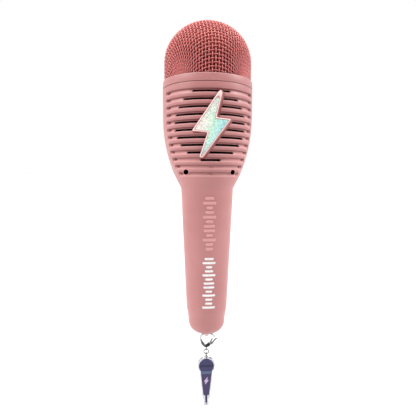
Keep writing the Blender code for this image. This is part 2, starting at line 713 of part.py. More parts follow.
def swivel_and_rings():
    """Swivel eye under the clasp, a jump ring and a link."""
    steel = material("ring_steel", STEEL, 0.15, 1.0)
    eye_path = ring_path(Vector((0, 0, EYE_Z)), EYE_RADIUS, "YZ", 14)
    eye = finish("swivel_eye", wire(eye_path, FINE_WIRE, (1, 0, 0), True), steel, (0, 0, EYE_Z))
    neck = [(0, -82.6), (0.5, -82.6), (0.5, -80.7), (0.8, -80.7), (0.6, -80.2), (0, -80.1)]
    combine(eye, finish("swivel_neck", turned(neck, 10), None), "UNION")

    ring_pivot = RING_Z + RING_RADIUS
    ring_points = ring_path(Vector((0, 0, RING_Z)), RING_RADIUS, "XZ")
    finish("jump_ring", wire(ring_points, FINE_WIRE, (0, 1, 0), True), steel, (0, 0, ring_pivot))
    link_pivot = RING_Z - RING_RADIUS
    link_points = ring_path(Vector((0, 0, LINK_Z)), LINK_RADIUS, "YZ")
    finish("link_ring", wire(link_points, FINE_WIRE, (1, 0, 0), True), steel, (0, 0, link_pivot))


def charm_outline(inset):
    """Outline of the little microphone, as (x, z) points from the top clockwise."""
    head_z, head = -99.6, 7.4 - inset
    right = []
    for i in range(9):
        angle = math.radians(60 - 100 * i / 8)
        right.append((head * math.cos(angle), head_z + head * math.sin(angle)))
    right += [(5.3 - inset, -106.6), (3.6 - inset * 0.8, -125.2 + inset)]
    return right


def charm():
    """Clear acrylic plate with a hole in its tab, and the print sunk in its face."""
    right = [(1.0, -90.7), (2.1, -91.6), (2.3, -92.7)] + charm_outline(0)
    right += [(2.4, -127.6), (2.2, -132.6), (1.6, -133.2)]
    outline = right + [(-x, z) for x, z in reversed(right)]
    pivot = (0, 0, LINK_Z - LINK_RADIUS)
    look = material("acrylic", (0.95, 0.95, 1.0), 0.05, 0.0, 0.35)
    plate = finish("charm_plate", prism(outline, -CHARM_HALF_THICK, CHARM_HALF_THICK), look, pivot)
    hole = prism(circle((0, CHARM_HOLE_Z), 1.1, 14), -5, 5)
    combine(plate, finish("charm_hole", hole, None), "DIFFERENCE")
    inner = charm_outline(1.3)
    printed = inner + [(0.5, -126.2), (0.5, -131.4)]
    printed += [(-x, z) for x, z in reversed(printed)]
    face = -CHARM_HALF_THICK - 0.05
    look = material("print_purple", (0.08, 0.07, 0.25), 0.4)
    finish("charm_print", prism(printed, face - 0.12, face), look, pivot)


# ================================================================ build

def clear_scene():
    """Removes what a new file starts with."""
    for item in list(bpy.data.objects):
        bpy.data.objects.remove(item, do_unlink=True)


clear_scene()
front_shell()
rear_shell()
screws()
tail_cap()
head()
speaker()
electronics()
controls()
badge()
clasp()
swivel_and_rings()
charm()
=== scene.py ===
"""The looks of the toy microphone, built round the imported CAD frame.

The origin is the middle of the grip, +Z is the head, and the speaker grille faces -Y. Lengths
are in millimetres here and become metres when a mesh is made.
"""

import math

import bmesh
import bpy
import numpy as np
from mathutils import Matrix, Vector, noise


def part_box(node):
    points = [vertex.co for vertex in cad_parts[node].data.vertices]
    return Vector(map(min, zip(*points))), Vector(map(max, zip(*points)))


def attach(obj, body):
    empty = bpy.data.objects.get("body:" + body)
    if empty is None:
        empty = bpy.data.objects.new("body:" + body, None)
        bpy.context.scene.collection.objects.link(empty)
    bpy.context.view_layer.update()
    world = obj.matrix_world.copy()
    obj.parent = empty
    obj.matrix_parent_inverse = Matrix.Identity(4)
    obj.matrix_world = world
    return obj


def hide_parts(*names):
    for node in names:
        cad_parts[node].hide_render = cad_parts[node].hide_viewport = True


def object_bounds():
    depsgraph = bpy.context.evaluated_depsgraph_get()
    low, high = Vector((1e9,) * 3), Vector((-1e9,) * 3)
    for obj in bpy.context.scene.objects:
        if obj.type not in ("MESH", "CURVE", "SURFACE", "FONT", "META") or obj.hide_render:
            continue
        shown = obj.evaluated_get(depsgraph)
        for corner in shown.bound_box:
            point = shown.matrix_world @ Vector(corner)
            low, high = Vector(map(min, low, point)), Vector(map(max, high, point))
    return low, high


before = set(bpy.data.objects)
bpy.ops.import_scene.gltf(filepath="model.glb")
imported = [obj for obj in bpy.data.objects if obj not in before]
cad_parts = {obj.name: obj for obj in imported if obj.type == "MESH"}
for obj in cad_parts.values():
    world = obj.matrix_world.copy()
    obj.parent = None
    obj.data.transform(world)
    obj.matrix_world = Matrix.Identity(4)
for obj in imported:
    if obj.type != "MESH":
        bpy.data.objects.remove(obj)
CAD_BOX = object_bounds()
MM = 0.001


# ================================================================ what the frame says

def low(node):
    """Lowest corner of a CAD node."""
    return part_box(node)[0] / MM


def high(node):
    """Highest corner of a CAD node."""
    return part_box(node)[1] / MM


def middle(node):
    """Middle of a CAD node's box."""
    return (low(node) + high(node)) / 2


BODY_RADIUS = high("head_ring").x
BODY_TOP = high("front_shell").z
HANDLE_BOTTOM = low("front_shell").z
HANDLE_FOOT_RADIUS = high("tail_cap").x
WALL = 2.4

MESH_RADIUS = high("head_mesh").x
MESH_FOOT = low("head_mesh").z
DOME_RISE = 31.5                            # the dome is an ellipse on a straight skirt
DOME_Z = high("head_mesh").z - DOME_RISE
RING_TOP = high("head_ring").z

# The casing is straight down to FLARE_TOP, then curves in, with radius FLARE_ARC, to the handle.
FLARE_TOP = 105.0
FLARE_ARC = 112.3
HANDLE_TOP = 50.8
HANDLE_SLOPE = 0.0453                       # gain in radius for each mm up
CREASE = 0.25                               # how soft the corner under the flare is

# Grille: the grooves are rounded channels, and each slot lies along a groove's lower edge.
GROOVES = 12
SLOTS = 10
FIRST_SLOT_Z = 119.95
GROOVE_PITCH = 5.34
SLOT_TOP, SLOT_FOOT = 0.95, -0.72           # a slot's edges above and below its middle
GROOVE_RISE = 0.64                          # groove's middle above its slot's middle
GROOVE_HALF = 1.4
GROOVE_DEPTH = 1.4
GROOVE_EDGE = 0.6                           # width of the rounded edge
GROOVE_END_DEG = (65.0,) * 9 + (63.5, 61.7, 57.0)
LAND_DEPTH = 1.05                           # the floor rises to this beyond the slot's end
PIT_DEPTH = 1.9                             # and falls to this in the pit at the groove's end
LAND_RUN = 2.5                              # length over which the floor rises
PIT_HALF = (3.3, 1.5)                       # half its length and half its height
PIT_OVERRUN = 1.2                           # how far the pit's outline passes the groove's end
PIT_EDGE = 0.7                              # share of the pit that slopes
GRILLE_RADIUS = 26.5
SPEAKER_Z = middle("speaker_cloth").z
SPLIT_DEG = 0.4                             # half the gap between the two halves

SCREW_X = middle("grille_screw_right").x
SCREW_Z = middle("grille_screw_right").z
CASE_SCREW_X = middle("case_screw_right").x
CASE_SCREW_Z = middle("case_screw_right").z
HOLE_RADIUS = 2.0

# The badge's corners are (x, height above BADGE_Z), clockwise from the left of the top tip. Between
# the edge and the foil the first three also move by BADGE_TIP_FILL: the rim is solid over the tip.
BADGE_Z = 97.0
BADGE_LEAN = 0.06                           # how far the face comes forward for each mm up
BADGE_CORNERS = (
    (4.9, 22.6), (6.2, 23.5), (7.6, 21.8), (3.5, 4.7), (14.1, 3.7), (-6.2, -23.7), (-8.6, -23.1),
    (-2.8, -5.8), (-14.0, -5.0),
)
BADGE_TIP_FILL = ((-2.4, -3.5), (-1.6, -3.6), (-1.0, -4.1))

# Painted shading for mark(): painted shade on the casing's inner skin and on parts deep in a hole,
# and a painted highlight on a raised edge.
INSIDE_SHADE = -2.0
DEEP_SHADE = -1.6
RAISED_HIGHLIGHT = 0.9

PAD_Z = middle("control_pad").z
PORT_Z = middle("port_surround").z
KEYS = ("volume_up", "volume_down", "mode", "power")


def casing_radius(z):
    """Outer radius of the casing at a height, for a number or an array."""
    z = np.asarray(z, float)
    drop = np.clip(FLARE_TOP - z, 0, FLARE_ARC)
    flare = BODY_RADIUS - FLARE_ARC + np.sqrt(FLARE_ARC ** 2 - drop ** 2)
    handle = HANDLE_FOOT_RADIUS + HANDLE_SLOPE * (z - HANDLE_BOTTOM)
    return np.where(z < 90, np.logaddexp(flare / CREASE, handle / CREASE) * CREASE, flare)


def skin_y(x, z, side, lift=0.0):
    """y of the casing's skin at (x, z), on the front (-1) or the rear (1)."""
    return side * np.sqrt((casing_radius(z) + lift) ** 2 - np.asarray(x, float) ** 2)


# ================================================================ mesh helpers

def new_object(name, verts, faces, look, sharp_deg=40.0):
    """Smooth-shaded object from millimetre vertices."""
    mesh = bpy.data.meshes.new(name)
    verts = np.asarray(verts, float) * MM
    mesh.from_pydata(verts.tolist(), [], [list(map(int, f)) for f in faces])
    mesh.shade_smooth()
    mesh.set_sharp_from_angle(angle=math.radians(sharp_deg))
    made = bpy.data.objects.new(name, mesh)
    bpy.context.scene.collection.objects.link(made)
    if look:
        mesh.materials.append(look)
    return made


def place(made, body, slot=None, *nodes):
    """The piece rides on a body and stands for CAD nodes, which it hides. The slot is not used."""
    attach(made, body)
    if nodes:
        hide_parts(*nodes)


def full_turn(count):
    """Angles spread evenly round a circle."""
    return np.linspace(0, 2 * math.pi, count, endpoint=False)


def ring_faces(count, size, closed=False):
    """Quads that join closed rings of vertices in turn, and the last to the first if closed."""
    rings = [np.arange(size) + i * size for i in range(count)]
    following = rings[1:] + rings[:1] if closed else rings[1:]
    return [quad for a, b in zip(rings, following)
            for quad in np.stack([a, b, np.roll(b, -1), np.roll(a, -1)], 1)]


def loft(name, layers, look, caps=(True, True)):
    """Closed loops of the same size, joined in turn, with a face over the first and the last."""
    count = len(layers[0])
    faces = ring_faces(len(layers), count)
    if caps[0]:
        faces.append(np.arange(count))
    if caps[1]:
        faces.append(np.arange(count)[::-1] + (len(layers) - 1) * count)
    made = new_object(name, np.vstack(layers), faces, look)
    tidy_normals(made)
    return made


def tidy_normals(made):
    """Faces of a closed shape turned outwards."""
    bm = bmesh.new()
    bm.from_mesh(made.data)
    bmesh.ops.remove_doubles(bm, verts=bm.verts, dist=1e-7)
    bmesh.ops.recalc_face_normals(bm, faces=bm.faces)
    bm.to_mesh(made.data)
    bm.free()


def turned(name, profile, look, segments=96, centre=(0, 0, 0), axis="Z"):
    """A closed (radius, height) outline turned about an axis through a point."""
    turns = full_turn(segments)
    rows = []
    for radius, height in profile:
        a, b = max(radius, 0) * np.cos(turns), max(radius, 0) * np.sin(turns)
        level = np.full(segments, height)
        rows.append(np.stack({"Z": (a, b, level), "Y": (a, level, b), "-Y": (a, -level, b)}[axis], 1))
    faces = ring_faces(len(rows), segments, True)
    made = new_object(name, np.vstack(rows) + np.array(centre), faces, look)
    tidy_normals(made)
    return made


def dense(corners, spacing, passes, counts=None):
    """A closed outline with points along its edges and softened corners. Returns the per-edge
    counts too, so that an inset copy gets matching points."""
    corners = np.asarray(corners, float)
    following = np.roll(corners, -1, 0)
    if counts is None:
        lengths = np.linalg.norm(following - corners, axis=1)
        counts = [max(1, round(length / spacing)) for length in lengths]
    points = np.vstack([
        a + (b - a) * np.linspace(0, 1, n, endpoint=False)[:, None]
        for a, b, n in zip(corners, following, counts)
    ])
    for _ in range(passes):
        points = (np.roll(points, 1, 0) + 2 * points + np.roll(points, -1, 0)) / 4
    return points, counts


def right_of(edges):
    """Unit vectors to the right of edges, which is inwards on a clockwise outline."""
    normal = np.stack([edges[:, 1], -edges[:, 0]], 1)
    return normal / np.linalg.norm(normal, axis=1)[:, None]


def inward(outline):
    """Unit vectors into a clockwise outline, one at each of its points."""
    return right_of(np.roll(outline, -1, 0) - np.roll(outline, 1, 0))


def inset_corners(corners, inset):
    """Corners of a clockwise outline moved inwards."""
    corners = np.asarray(corners, float)
    one = right_of(corners - np.roll(corners, 1, 0))
    two = right_of(np.roll(corners, -1, 0) - corners)
    shift = (one + two) / (1 + np.sum(one * two, 1))[:, None] * inset
    return corners + shift


def rounded(half_a, half_b, corner, centre=(0, 0), steps=12):
    """Rounded rectangle outline, clockwise when seen with the first axis to the right."""
    points = []
    for quarter, (sa, sb) in enumerate(((1, 1), (-1, 1), (-1, -1), (1, -1))):
        for i in range(steps + 1):
            angle = math.radians(90 * quarter + 90 * i / steps)
            points.append((
                centre[0] + sa * (half_a - corner) + corner * math.cos(angle),
                centre[1] + sb * (half_b - corner) + corner * math.sin(angle),
            ))
    return np.array(points[::-1])


def standing(outline, y):
    """An (x, z) outline at y, which may be a number or one for each point."""
    outline = np.asarray(outline, float)
    return np.stack([outline[:, 0], np.broadcast_to(y, len(outline)), outline[:, 1]], 1)


def slab(name, outline, near, far, look, bevel=0.1):
    """A flat (x, z) outline between two y levels, with rounded edges."""
    made = loft(name, [standing(outline, near), standing(outline, far)], look)
    edge = made.modifiers.new("rounded_edges", "BEVEL")
    edge.width = bevel * MM
    edge.segments = 3
    edge.limit_method = "ANGLE"
    edge.angle_limit = math.radians(50)
    edge.harden_normals = True
    return made


def tube(name, paths, radii, look, sides, normal, closed=False):
    """Round wires along paths, all in one mesh. The normal is any direction off the path, or a
    function that gives one for each point."""
    turns = full_turn(sides)
    verts, faces, first = [], [], 0
    for path, radius in zip(paths, radii):
        path = np.asarray(path, float)
        if closed:
            along = np.roll(path, -1, 0) - np.roll(path, 1, 0)
        else:
            along = np.gradient(path, axis=0)
        along /= np.linalg.norm(along, axis=1)[:, None]
        up = normal(path) if callable(normal) else np.broadcast_to(normal, path.shape)
        side = np.cross(along, up)
        side /= np.linalg.norm(side, axis=1)[:, None]
        up = np.cross(side, along)
        radius = np.broadcast_to(radius, len(path))[:, None, None]
        ring = np.cos(turns)[:, None] * side[:, None] + np.sin(turns)[:, None] * up[:, None]
        verts.append((path[:, None] + radius * ring).reshape(-1, 3))
        rows = first + np.arange(len(path))[:, None] * sides + np.arange(sides)[None, :]
        upper, lower = (rows, np.roll(rows, -1, 0)) if closed else (rows[:-1], rows[1:])
        quads = np.stack([upper, np.roll(upper, -1, 1), np.roll(lower, -1, 1), lower], -1)
        faces += quads.reshape(-1, 4).tolist()
        if not closed:
            faces += [rows[0][::-1].tolist(), rows[-1].tolist()]
        first += len(path) * sides
    return new_object(name, np.vstack(verts), faces, look, 60.0)


def mark(made, painted_shading):
    """Keeps a painted shading value on the vertices of a piece: one number, or one for each vertex.
    The looks show it as a painted highlight above 0 and as painted shade below 0."""
    attribute = made.data.attributes.new("painted_shading", "FLOAT", "POINT")
    values = np.broadcast_to(painted_shading, len(made.data.vertices)).astype(np.float32)
    attribute.data.foreach_set("value", values)


def cut(target, cutter, operation="DIFFERENCE"):
    """Boolean of two objects, applied, and the cutter removed."""
    step = target.modifiers.new("cut", "BOOLEAN")
    step.object = cutter
    step.solver = "EXACT"
    step.operation = operation
    bpy.context.view_layer.objects.active = target
    bpy.ops.object.modifier_apply(modifier=step.name)
    bpy.data.objects.remove(cutter)
    target.data.set_sharp_from_angle(angle=math.radians(40))


def pin_cutter(x, z, radius, near, far, segments=48):
    """Round cutter along Y."""
    profile = [(0, near), (radius, near), (radius, far), (0, far)]
    return turned("cutter", profile, None, segments, (x, 0, z), "Y")


# ================================================================ materials

class Look:
    """A Principled material and short ways to drive it from procedural nodes."""

    def __init__(self, name, **values):
        self.material = bpy.data.materials.new(name)
        self.material.use_nodes = True
        self.tree = self.material.node_tree
        self.shader = self.tree.nodes["Principled BSDF"]
        self.place = self.add("ShaderNodeTexCoord").outputs["Object"]
        for key, value in values.items():
            self.shader.inputs[key.replace("_", " ")].default_value = value

    def add(self, kind, links=(), **values):
        """A node with its links, and values for its properties or its sockets."""
        node = self.tree.nodes.new(kind)
        for key, value in values.items():
            if hasattr(node, key):
                setattr(node, key, value)
            else:
                node.inputs[key].default_value = value
        for socket, source in links:
            self.tree.links.new(source, node.inputs[socket])
        return node

    def noise(self, size, detail=3.0, roughness=0.5):
        """Noise whose features are about this many millimetres across, near 0 to 1."""
        return self.add("ShaderNodeTexNoise", [("Vector", self.place)], Scale=1000.0 / size,
                        Detail=detail, Roughness=roughness).outputs["Fac"]

    def cells(self, size, feature="F1", output="Distance"):
        """Voronoi cells about this many millimetres across."""
        return self.add("ShaderNodeTexVoronoi", [("Vector", self.place)], feature=feature,
                        Scale=1000.0 / size).outputs[output]

    def ramp(self, fac, *stops, interpolation="LINEAR"):
        """Colours or grey values at positions along a factor."""
        node = self.add("ShaderNodeValToRGB", [("Fac", fac)])
        ramp = node.color_ramp
        ramp.interpolation = interpolation
        while len(ramp.elements) < len(stops):
            ramp.elements.new(0.5)
        for element, (at, value) in zip(ramp.elements, stops):
            element.position = at
            element.color = (*(value if isinstance(value, tuple) else (value,) * 3), 1.0)
        return node.outputs["Color"]

    def spread(self, value, start, end):
        """Maps the range from start to end to 0 to 1."""
        return self.add("ShaderNodeMapRange", [("Value", value)],
                        **{"From Min": start, "From Max": end}).outputs["Result"]

    def axis(self, name):
        """One coordinate, in metres."""
        return self.add("ShaderNodeSeparateXYZ", [("Vector", self.place)]).outputs[name]

    def math(self, operation, a, b):
        """Arithmetic on outputs or numbers."""
        node = self.add("ShaderNodeMath", operation=operation)
        for i, value in enumerate((a, b)):
            if isinstance(value, (int, float)):
                node.inputs[i].default_value = value
            else:
                self.tree.links.new(value, node.inputs[i])
        return node.outputs[0]

    def mix(self, fac, a, b, blend="MIX"):
        """Blend of two colours, each an output or a tuple."""
        node = self.add("ShaderNodeMix", data_type="RGBA", blend_type=blend)
        for i, value in ((0, fac), (6, a), (7, b)):
            if isinstance(value, tuple):
                node.inputs[i].default_value = (*value, 1.0)
            elif isinstance(value, (int, float)):
                node.inputs[i].default_value = value
            else:
                self.tree.links.new(value, node.inputs[i])
        return node.outputs[2]

    def attribute(self, name):
        """A value kept on the mesh's vertices."""
        return self.add("ShaderNodeAttribute", attribute_name=name).outputs["Fac"]

    def colour(self, output):
        """The base colour follows an output."""
        self.tree.links.new(output, self.shader.inputs["Base Color"])
        return self

    def rough(self, size, smooth, coarse):
        """Roughness that wanders between two values."""
        output = self.ramp(self.noise(size), (0.35, smooth), (0.65, coarse))
        self.tree.links.new(output, self.shader.inputs["Roughness"])
        return self

    def bump(self, height, strength, depth):
        """Fine relief, depth in millimetres."""
        node = self.add("ShaderNodeBump", [("Height", height)], Strength=strength,
                        Distance=depth * MM)
        self.tree.links.new(node.outputs["Normal"], self.shader.inputs["Normal"])
        return self


def scaled(colour, factor):
    """A darker or brighter copy of a colour."""
    return tuple(c * factor for c in colour)


def moulded(name, light, dark, smooth=0.34, coarse=0.46, grain=0.35, depth=0.02, wear_and_highlight=None):
    """Moulded plastic: slow colour drift, painted shade in recesses, painted highlights on crests and
    a fine sparked grain.
    """
    look = Look(name, Specular_IOR_Level=0.45)
    body = look.ramp(look.noise(30.0, 4.0), (0.35, dark), (0.65, light))
    painted_shading = look.attribute("painted_shading")
    # Painted shade where the painted shading value is below 0, and a painted highlight where it is
    # above 0.
    shade_colour = (dark[0] * 0.36, dark[1] * 0.22, dark[2] * 0.22)
    wear_and_highlight = wear_and_highlight or tuple(min(1.0, c * 1.25 + 0.06) for c in light)
    body = look.mix(look.spread(painted_shading, 0.0, -1.6), body, shade_colour)
    body = look.mix(look.spread(painted_shading, 0.0, 1.0), body, wear_and_highlight)
    specks = look.ramp(look.noise(0.9, 2.0), (0.30, 0.94), (0.42, 1.0))
    look.colour(look.mix(1.0, body, specks, "MULTIPLY"))
    return look.rough(9.0, smooth, coarse).bump(look.noise(grain, 2.0), 0.4, depth).material


def metal(name, tint, smooth=0.10, coarse=0.20, marks=1.6):
    """Plated metal, tarnished in patches."""
    look = Look(name, Metallic=1.0)
    look.colour(look.ramp(look.noise(marks, 5.0, 0.6), (0.40, scaled(tint, 0.3)), (0.62, tint)))
    return look.rough(marks * 1.7, smooth, coarse).bump(look.noise(marks, 3.0), 0.15, 0.05).material


def brushed(name, tint, smooth, coarse):
    """Stamped or turned steel with fine stretched lines."""
    look = Look(name, Metallic=1.0)
    lines = look.add("ShaderNodeMapping", [("Vector", look.place)], Scale=(1.0, 1.0, 14.0))
    streaks = look.add("ShaderNodeTexNoise", [("Vector", lines.outputs["Vector"])], Scale=500.0,
                       Detail=3.0).outputs["Fac"]
    look.colour(look.ramp(streaks, (0.3, scaled(tint, 0.7)), (0.7, tint)))
    return look.rough(2.0, smooth, coarse).bump(streaks, 0.2, 0.02).material


def dull_black(name, tone, smooth, coarse, grain, depth=0.03, shine=0.5):
    """Black plastic, rubber or paper, told apart by grain and gloss."""
    look = Look(name, Specular_IOR_Level=shine)
    look.colour(look.ramp(look.noise(grain * 4, 4.0), (0.35, tone), (0.7, scaled(tone, 1.9))))
    return look.rough(grain * 6, smooth, coarse).bump(look.noise(grain, 2.0), 0.5, depth).material


def woven(name, tone, thread):
    """Plain weave from two crossed waves."""
    look = Look(name, Roughness=0.95, Specular_IOR_Level=0.15)

    def threads(direction):
        return look.add("ShaderNodeTexWave", [("Vector", look.place)], bands_direction=direction,
                        Scale=1000.0 / thread / math.tau * 2, Distortion=0.4).outputs["Fac"]

    weave = look.math("MULTIPLY", threads("X"), threads("Z"))
    look.colour(look.ramp(weave, (0.1, tone), (0.9, scaled(tone, 2.5))))
    return look.bump(weave, 0.7, thread * 0.3).material


ROSE_LIGHT = (0.455, 0.192, 0.186)
ROSE_DEEP = (0.420, 0.171, 0.166)
WHITE_INK = (0.86, 0.84, 0.84)
STEEL_TINT = (0.66, 0.66, 0.68)
BLACK_TONE = (0.010, 0.010, 0.011)

rose = moulded("rose_plastic", ROSE_LIGHT, ROSE_DEEP)
rose_pale = moulded("pale_rose_plastic", (0.80, 0.62, 0.61), (0.76, 0.57, 0.56))
rose_deep = moulded("deep_rose_plastic", (0.36, 0.140, 0.136), (0.33, 0.125, 0.122), 0.28, 0.4)
white_plastic = moulded("white_plastic", (0.74, 0.70, 0.70), (0.70, 0.66, 0.66), 0.25, 0.35)
steel = metal("plated_steel", STEEL_TINT)
dark_plate = metal("dark_plated_steel", (0.26, 0.25, 0.25), 0.16, 0.3, 0.9)
black_plate = metal("black_plated_steel", (0.055, 0.050, 0.052), 0.25, 0.4, 0.9)
# Tinted nearly black: painted shade for the screws down in their holes, shared by the pin and the
# speaker's steel.
dark_steel = brushed("screw_steel", (0.03, 0.028, 0.028), 0.4, 0.55)
black_plastic = dull_black("black_plastic", BLACK_TONE, 0.35, 0.5, 0.3)
black_rubber = dull_black("black_rubber", (0.014, 0.014, 0.014), 0.65, 0.85, 0.2)
black_paper = dull_black("pressed_paper", (0.016, 0.015, 0.014), 0.8, 0.95, 0.15, 0.06)


def badge_rim_look():
    """Glossy pink plastic with a pale painted highlight along its crest."""
    return moulded("badge_rim", (0.58, 0.24, 0.22), (0.53, 0.20, 0.18), 0.2, 0.32, 0.3, 0.012,
                   wear_and_highlight=(0.93, 0.74, 0.72))


def foil_look():
    """Holographic foil: a painted iridescent reflection in a slow sweep from cream through mint to
    cyan, greyer towards the lower tip, broken into fine facets that carry painted glints of different
    strength."""
    look = Look("holographic_foil", Metallic=0.2, Specular_IOR_Level=0.7)
    down = look.math("SUBTRACT", look.axis("Z"), BADGE_Z * MM)
    across = look.math("SUBTRACT", look.math("MULTIPLY", look.axis("X"), 38.0),
                       look.math("MULTIPLY", down, 14.0))
    wander = look.math("MULTIPLY", look.math("SUBTRACT", look.noise(9.0, 2.0), 0.5), 0.5)
    # Painted iridescent reflection: the hue follows the position across the foil.
    sweep = look.spread(look.math("ADD", across, wander), -0.62, 0.62)
    tint = look.ramp(sweep, (0.0, (0.95, 0.86, 0.80)), (0.32, (0.95, 0.93, 0.84)),
                     (0.52, (0.64, 0.94, 0.74)), (0.78, (0.44, 0.86, 0.84)),
                     (1.0, (0.62, 0.91, 0.95)))
    # Painted glints: each facet a little brighter or darker.
    glint = look.ramp(look.cells(0.9, output="Color"), (0.15, 0.76), (0.45, 1.0), (0.85, 1.0))
    tint = look.mix(0.09, tint, look.cells(0.9, output="Color"))
    tint = look.mix(1.0, tint, glint, "MULTIPLY")
    tip = look.spread(down, -0.012, -0.021)
    look.colour(look.mix(look.math("MULTIPLY", tip, 0.75), tint, (0.46, 0.48, 0.52)))
    return look.rough(1.2, 0.16, 0.4).bump(look.cells(0.9), 0.3, 0.1).material


def wire_look():
    """Thick pink paint over woven steel wire: chipped, with a pale painted highlight on the crests of
    the weave, painted shade where a wire dips under another, and a little painted shade low on the
    dome."""
    look = Look("painted_wire", Specular_IOR_Level=0.4, Coat_Weight=0.12, Coat_Roughness=0.2)
    paint = look.ramp(look.noise(6.0, 4.0), (0.35, (0.54, 0.092, 0.084)),
                      (0.65, (0.65, 0.135, 0.122)))
    wear_and_highlight = look.ramp(look.noise(0.7, 4.0, 0.7), (0.60, 0.0), (0.70, 0.25))
    paint = look.mix(wear_and_highlight, paint, (0.72, 0.42, 0.40))
    # Painted shade in the dips and a painted highlight on the crests of the weave.
    dip_shade = look.spread(look.attribute("painted_shading"), 0.35, -0.45)
    crest_highlight = look.spread(look.attribute("painted_shading"), 0.45, 0.95)
    paint = look.mix(dip_shade, paint, (0.15, 0.012, 0.011))
    paint = look.mix(crest_highlight, paint, (0.76, 0.25, 0.23))
    # Painted shade low on the dome.
    lower_dome_shade = look.spread(look.axis("Z"), 0.166, 0.147)
    shaded = look.mix(1.0, paint, (0.76, 0.70, 0.72), "MULTIPLY")
    look.colour(look.mix(lower_dome_shade, paint, shaded))
    return look.rough(1.5, 0.22, 0.4).bump(look.noise(0.4, 3.0), 0.35, 0.04).material


def foam_look():
    """Open-cell foam: bright walls round dark pores, with painted shade lower down."""
    look = Look("red_foam", Roughness=0.95, Sheen_Weight=0.3)
    pores = look.cells(0.55, "DISTANCE_TO_EDGE")
    walls = look.ramp(pores, (0.0, (0.95, 0.16, 0.08)), (0.35, (0.60, 0.06, 0.03)))
    patches = look.ramp(look.noise(7.0, 3.0), (0.3, 0.75), (0.7, 1.0))
    walls = look.mix(1.0, walls, patches, "MULTIPLY")
    # Painted shade lower down the foam.
    lower_shade = look.spread(look.axis("Z"), 0.160, 0.145)
    look.colour(look.mix(lower_shade, walls, (0.20, 0.007, 0.007)))
    return look.bump(look.cells(0.55), 0.8, 0.2).material


def hoop_look():
    """The hoop's plating: a painted reflection, bright near the lug and dark, mottled lower down."""
    look = Look("painted_reflection_plating", Metallic=1.0)
    ragged = look.math("MULTIPLY", look.noise(2.0), 0.004)
    # Bright painted reflection above this height, dark painted reflection below it.
    wear_and_highlight = look.spread(look.math("ADD", look.axis("Z"), ragged), -0.0765, -0.0725)
    plate = look.ramp(look.noise(1.2, 4.0), (0.4, (0.05, 0.05, 0.05)), (0.62, (0.18, 0.17, 0.17)))
    look.colour(look.mix(wear_and_highlight, plate, (0.50, 0.50, 0.49)))
    return look.rough(2.0, 0.12, 0.28).bump(look.noise(1.2, 3.0), 0.15, 0.05).material


def board_look():
    """Solder-masked board with tracks showing through and gold-coloured pads."""
    look = Look("circuit_board", Roughness=0.35, Coat_Weight=0.4)
    tracks = look.add("ShaderNodeTexBrick", [("Vector", look.place)], Scale=260.0,
                      **{"Mortar Size": 0.03}).outputs["Fac"]
    mask = look.mix(tracks, (0.012, 0.13, 0.05), (0.03, 0.22, 0.09))
    pads = look.ramp(look.cells(2.4), (0.10, 1.0), (0.13, 0.0), interpolation="CONSTANT")
    look.colour(look.mix(pads, mask, (0.75, 0.62, 0.30)))
    return look.bump(tracks, 0.3, 0.04).material


def cell_look():
    """Shrink-wrapped cell: blue film with a paler band and small creases."""
    look = Look("cell_wrap", Coat_Weight=0.5)
    band = look.ramp(look.spread(look.axis("Z"), -0.043, 0.023), (0.0, (0.02, 0.13, 0.36)),
                     (0.80, (0.03, 0.17, 0.42)), (0.84, (0.62, 0.64, 0.66)), (0.9, (0.03, 0.17, 0.42)))
    look.colour(look.mix(look.spread(look.noise(3.0, 4.0), 0.3, 0.9), band, (0.01, 0.08, 0.25)))
    return look.rough(3.0, 0.2, 0.35).bump(look.noise(1.5, 4.0), 0.25, 0.08).material


def copper_look():
    """Enamelled wire wound in close turns."""
    look = Look("wound_copper", Metallic=1.0)
    turns = look.add("ShaderNodeTexWave", [("Vector", look.place)], bands_direction="Y",
                     Scale=1500.0).outputs["Fac"]
    look.colour(look.ramp(turns, (0.1, (0.35, 0.13, 0.05)), (0.9, (0.78, 0.36, 0.17))))
    return look.rough(2.0, 0.25, 0.4).bump(turns, 0.8, 0.1).material


def acrylic_look():
    """Clear cast acrylic with the odd scuff."""
    look = Look("clear_acrylic", IOR=1.3, Transmission_Weight=0.85)
    look.colour(look.ramp(look.noise(12.0), (0.3, (0.60, 0.59, 0.65)), (0.7, (0.65, 0.64, 0.69))))
    return look.rough(1.5, 0.05, 0.14).bump(look.noise(3.0), 0.04, 0.05).material


def lens_look():
    """Cloudy light pipe."""
    look = Look("light_lens", IOR=1.45, Transmission_Weight=0.5)
    look.colour(look.ramp(look.noise(0.6), (0.3, (0.70, 0.90, 0.98)), (0.7, (0.85, 0.96, 1.0))))
    return look.rough(0.5, 0.1, 0.25).material


def ink(name, light, dark=None, size=1.4):
    """Printed ink: a faint mottle and slightly uneven gloss."""
    look = Look(name)
    dark = dark or scaled(light, 0.82)
    look.colour(look.ramp(look.noise(size, 4.0), (0.35, dark), (0.65, light)))
    return look.rough(1.0, 0.3, 0.5).bump(look.noise(0.2, 2.0), 0.3, 0.01).material


# ================================================================ camera, light, floor

CAMERA_AZIMUTH = math.radians(-5.0)
CAMERA_DISTANCE = 300.0
CAMERA_SIDE = 0.80
CAMERA_HEIGHT = 62.0
CAMERA_PITCH = math.radians(5.24)
CAMERA_ROLL = math.radians(0.3)
CAMERA_LENS = 32.13

# The suns as name, degrees round from the front, degrees up, and strength.
SUNS = (("left_light", -68, 36, 2.2), ("right_light", 76, 34, 2.3), ("top_light", 180, 78, 1.3))
SUN_SPREAD = math.radians(36)
LOW_FRONT_PLACE = (-0.05, -0.40, -0.34)     # in metres
LOW_FRONT_FROM = (-0.05, -0.40, -0.26)      # the direction that its light comes from
FLOOR_DROP = 60.0                           # floor's depth under the charm
FLOOR_REACH = 40000.0                       # half the floor's width


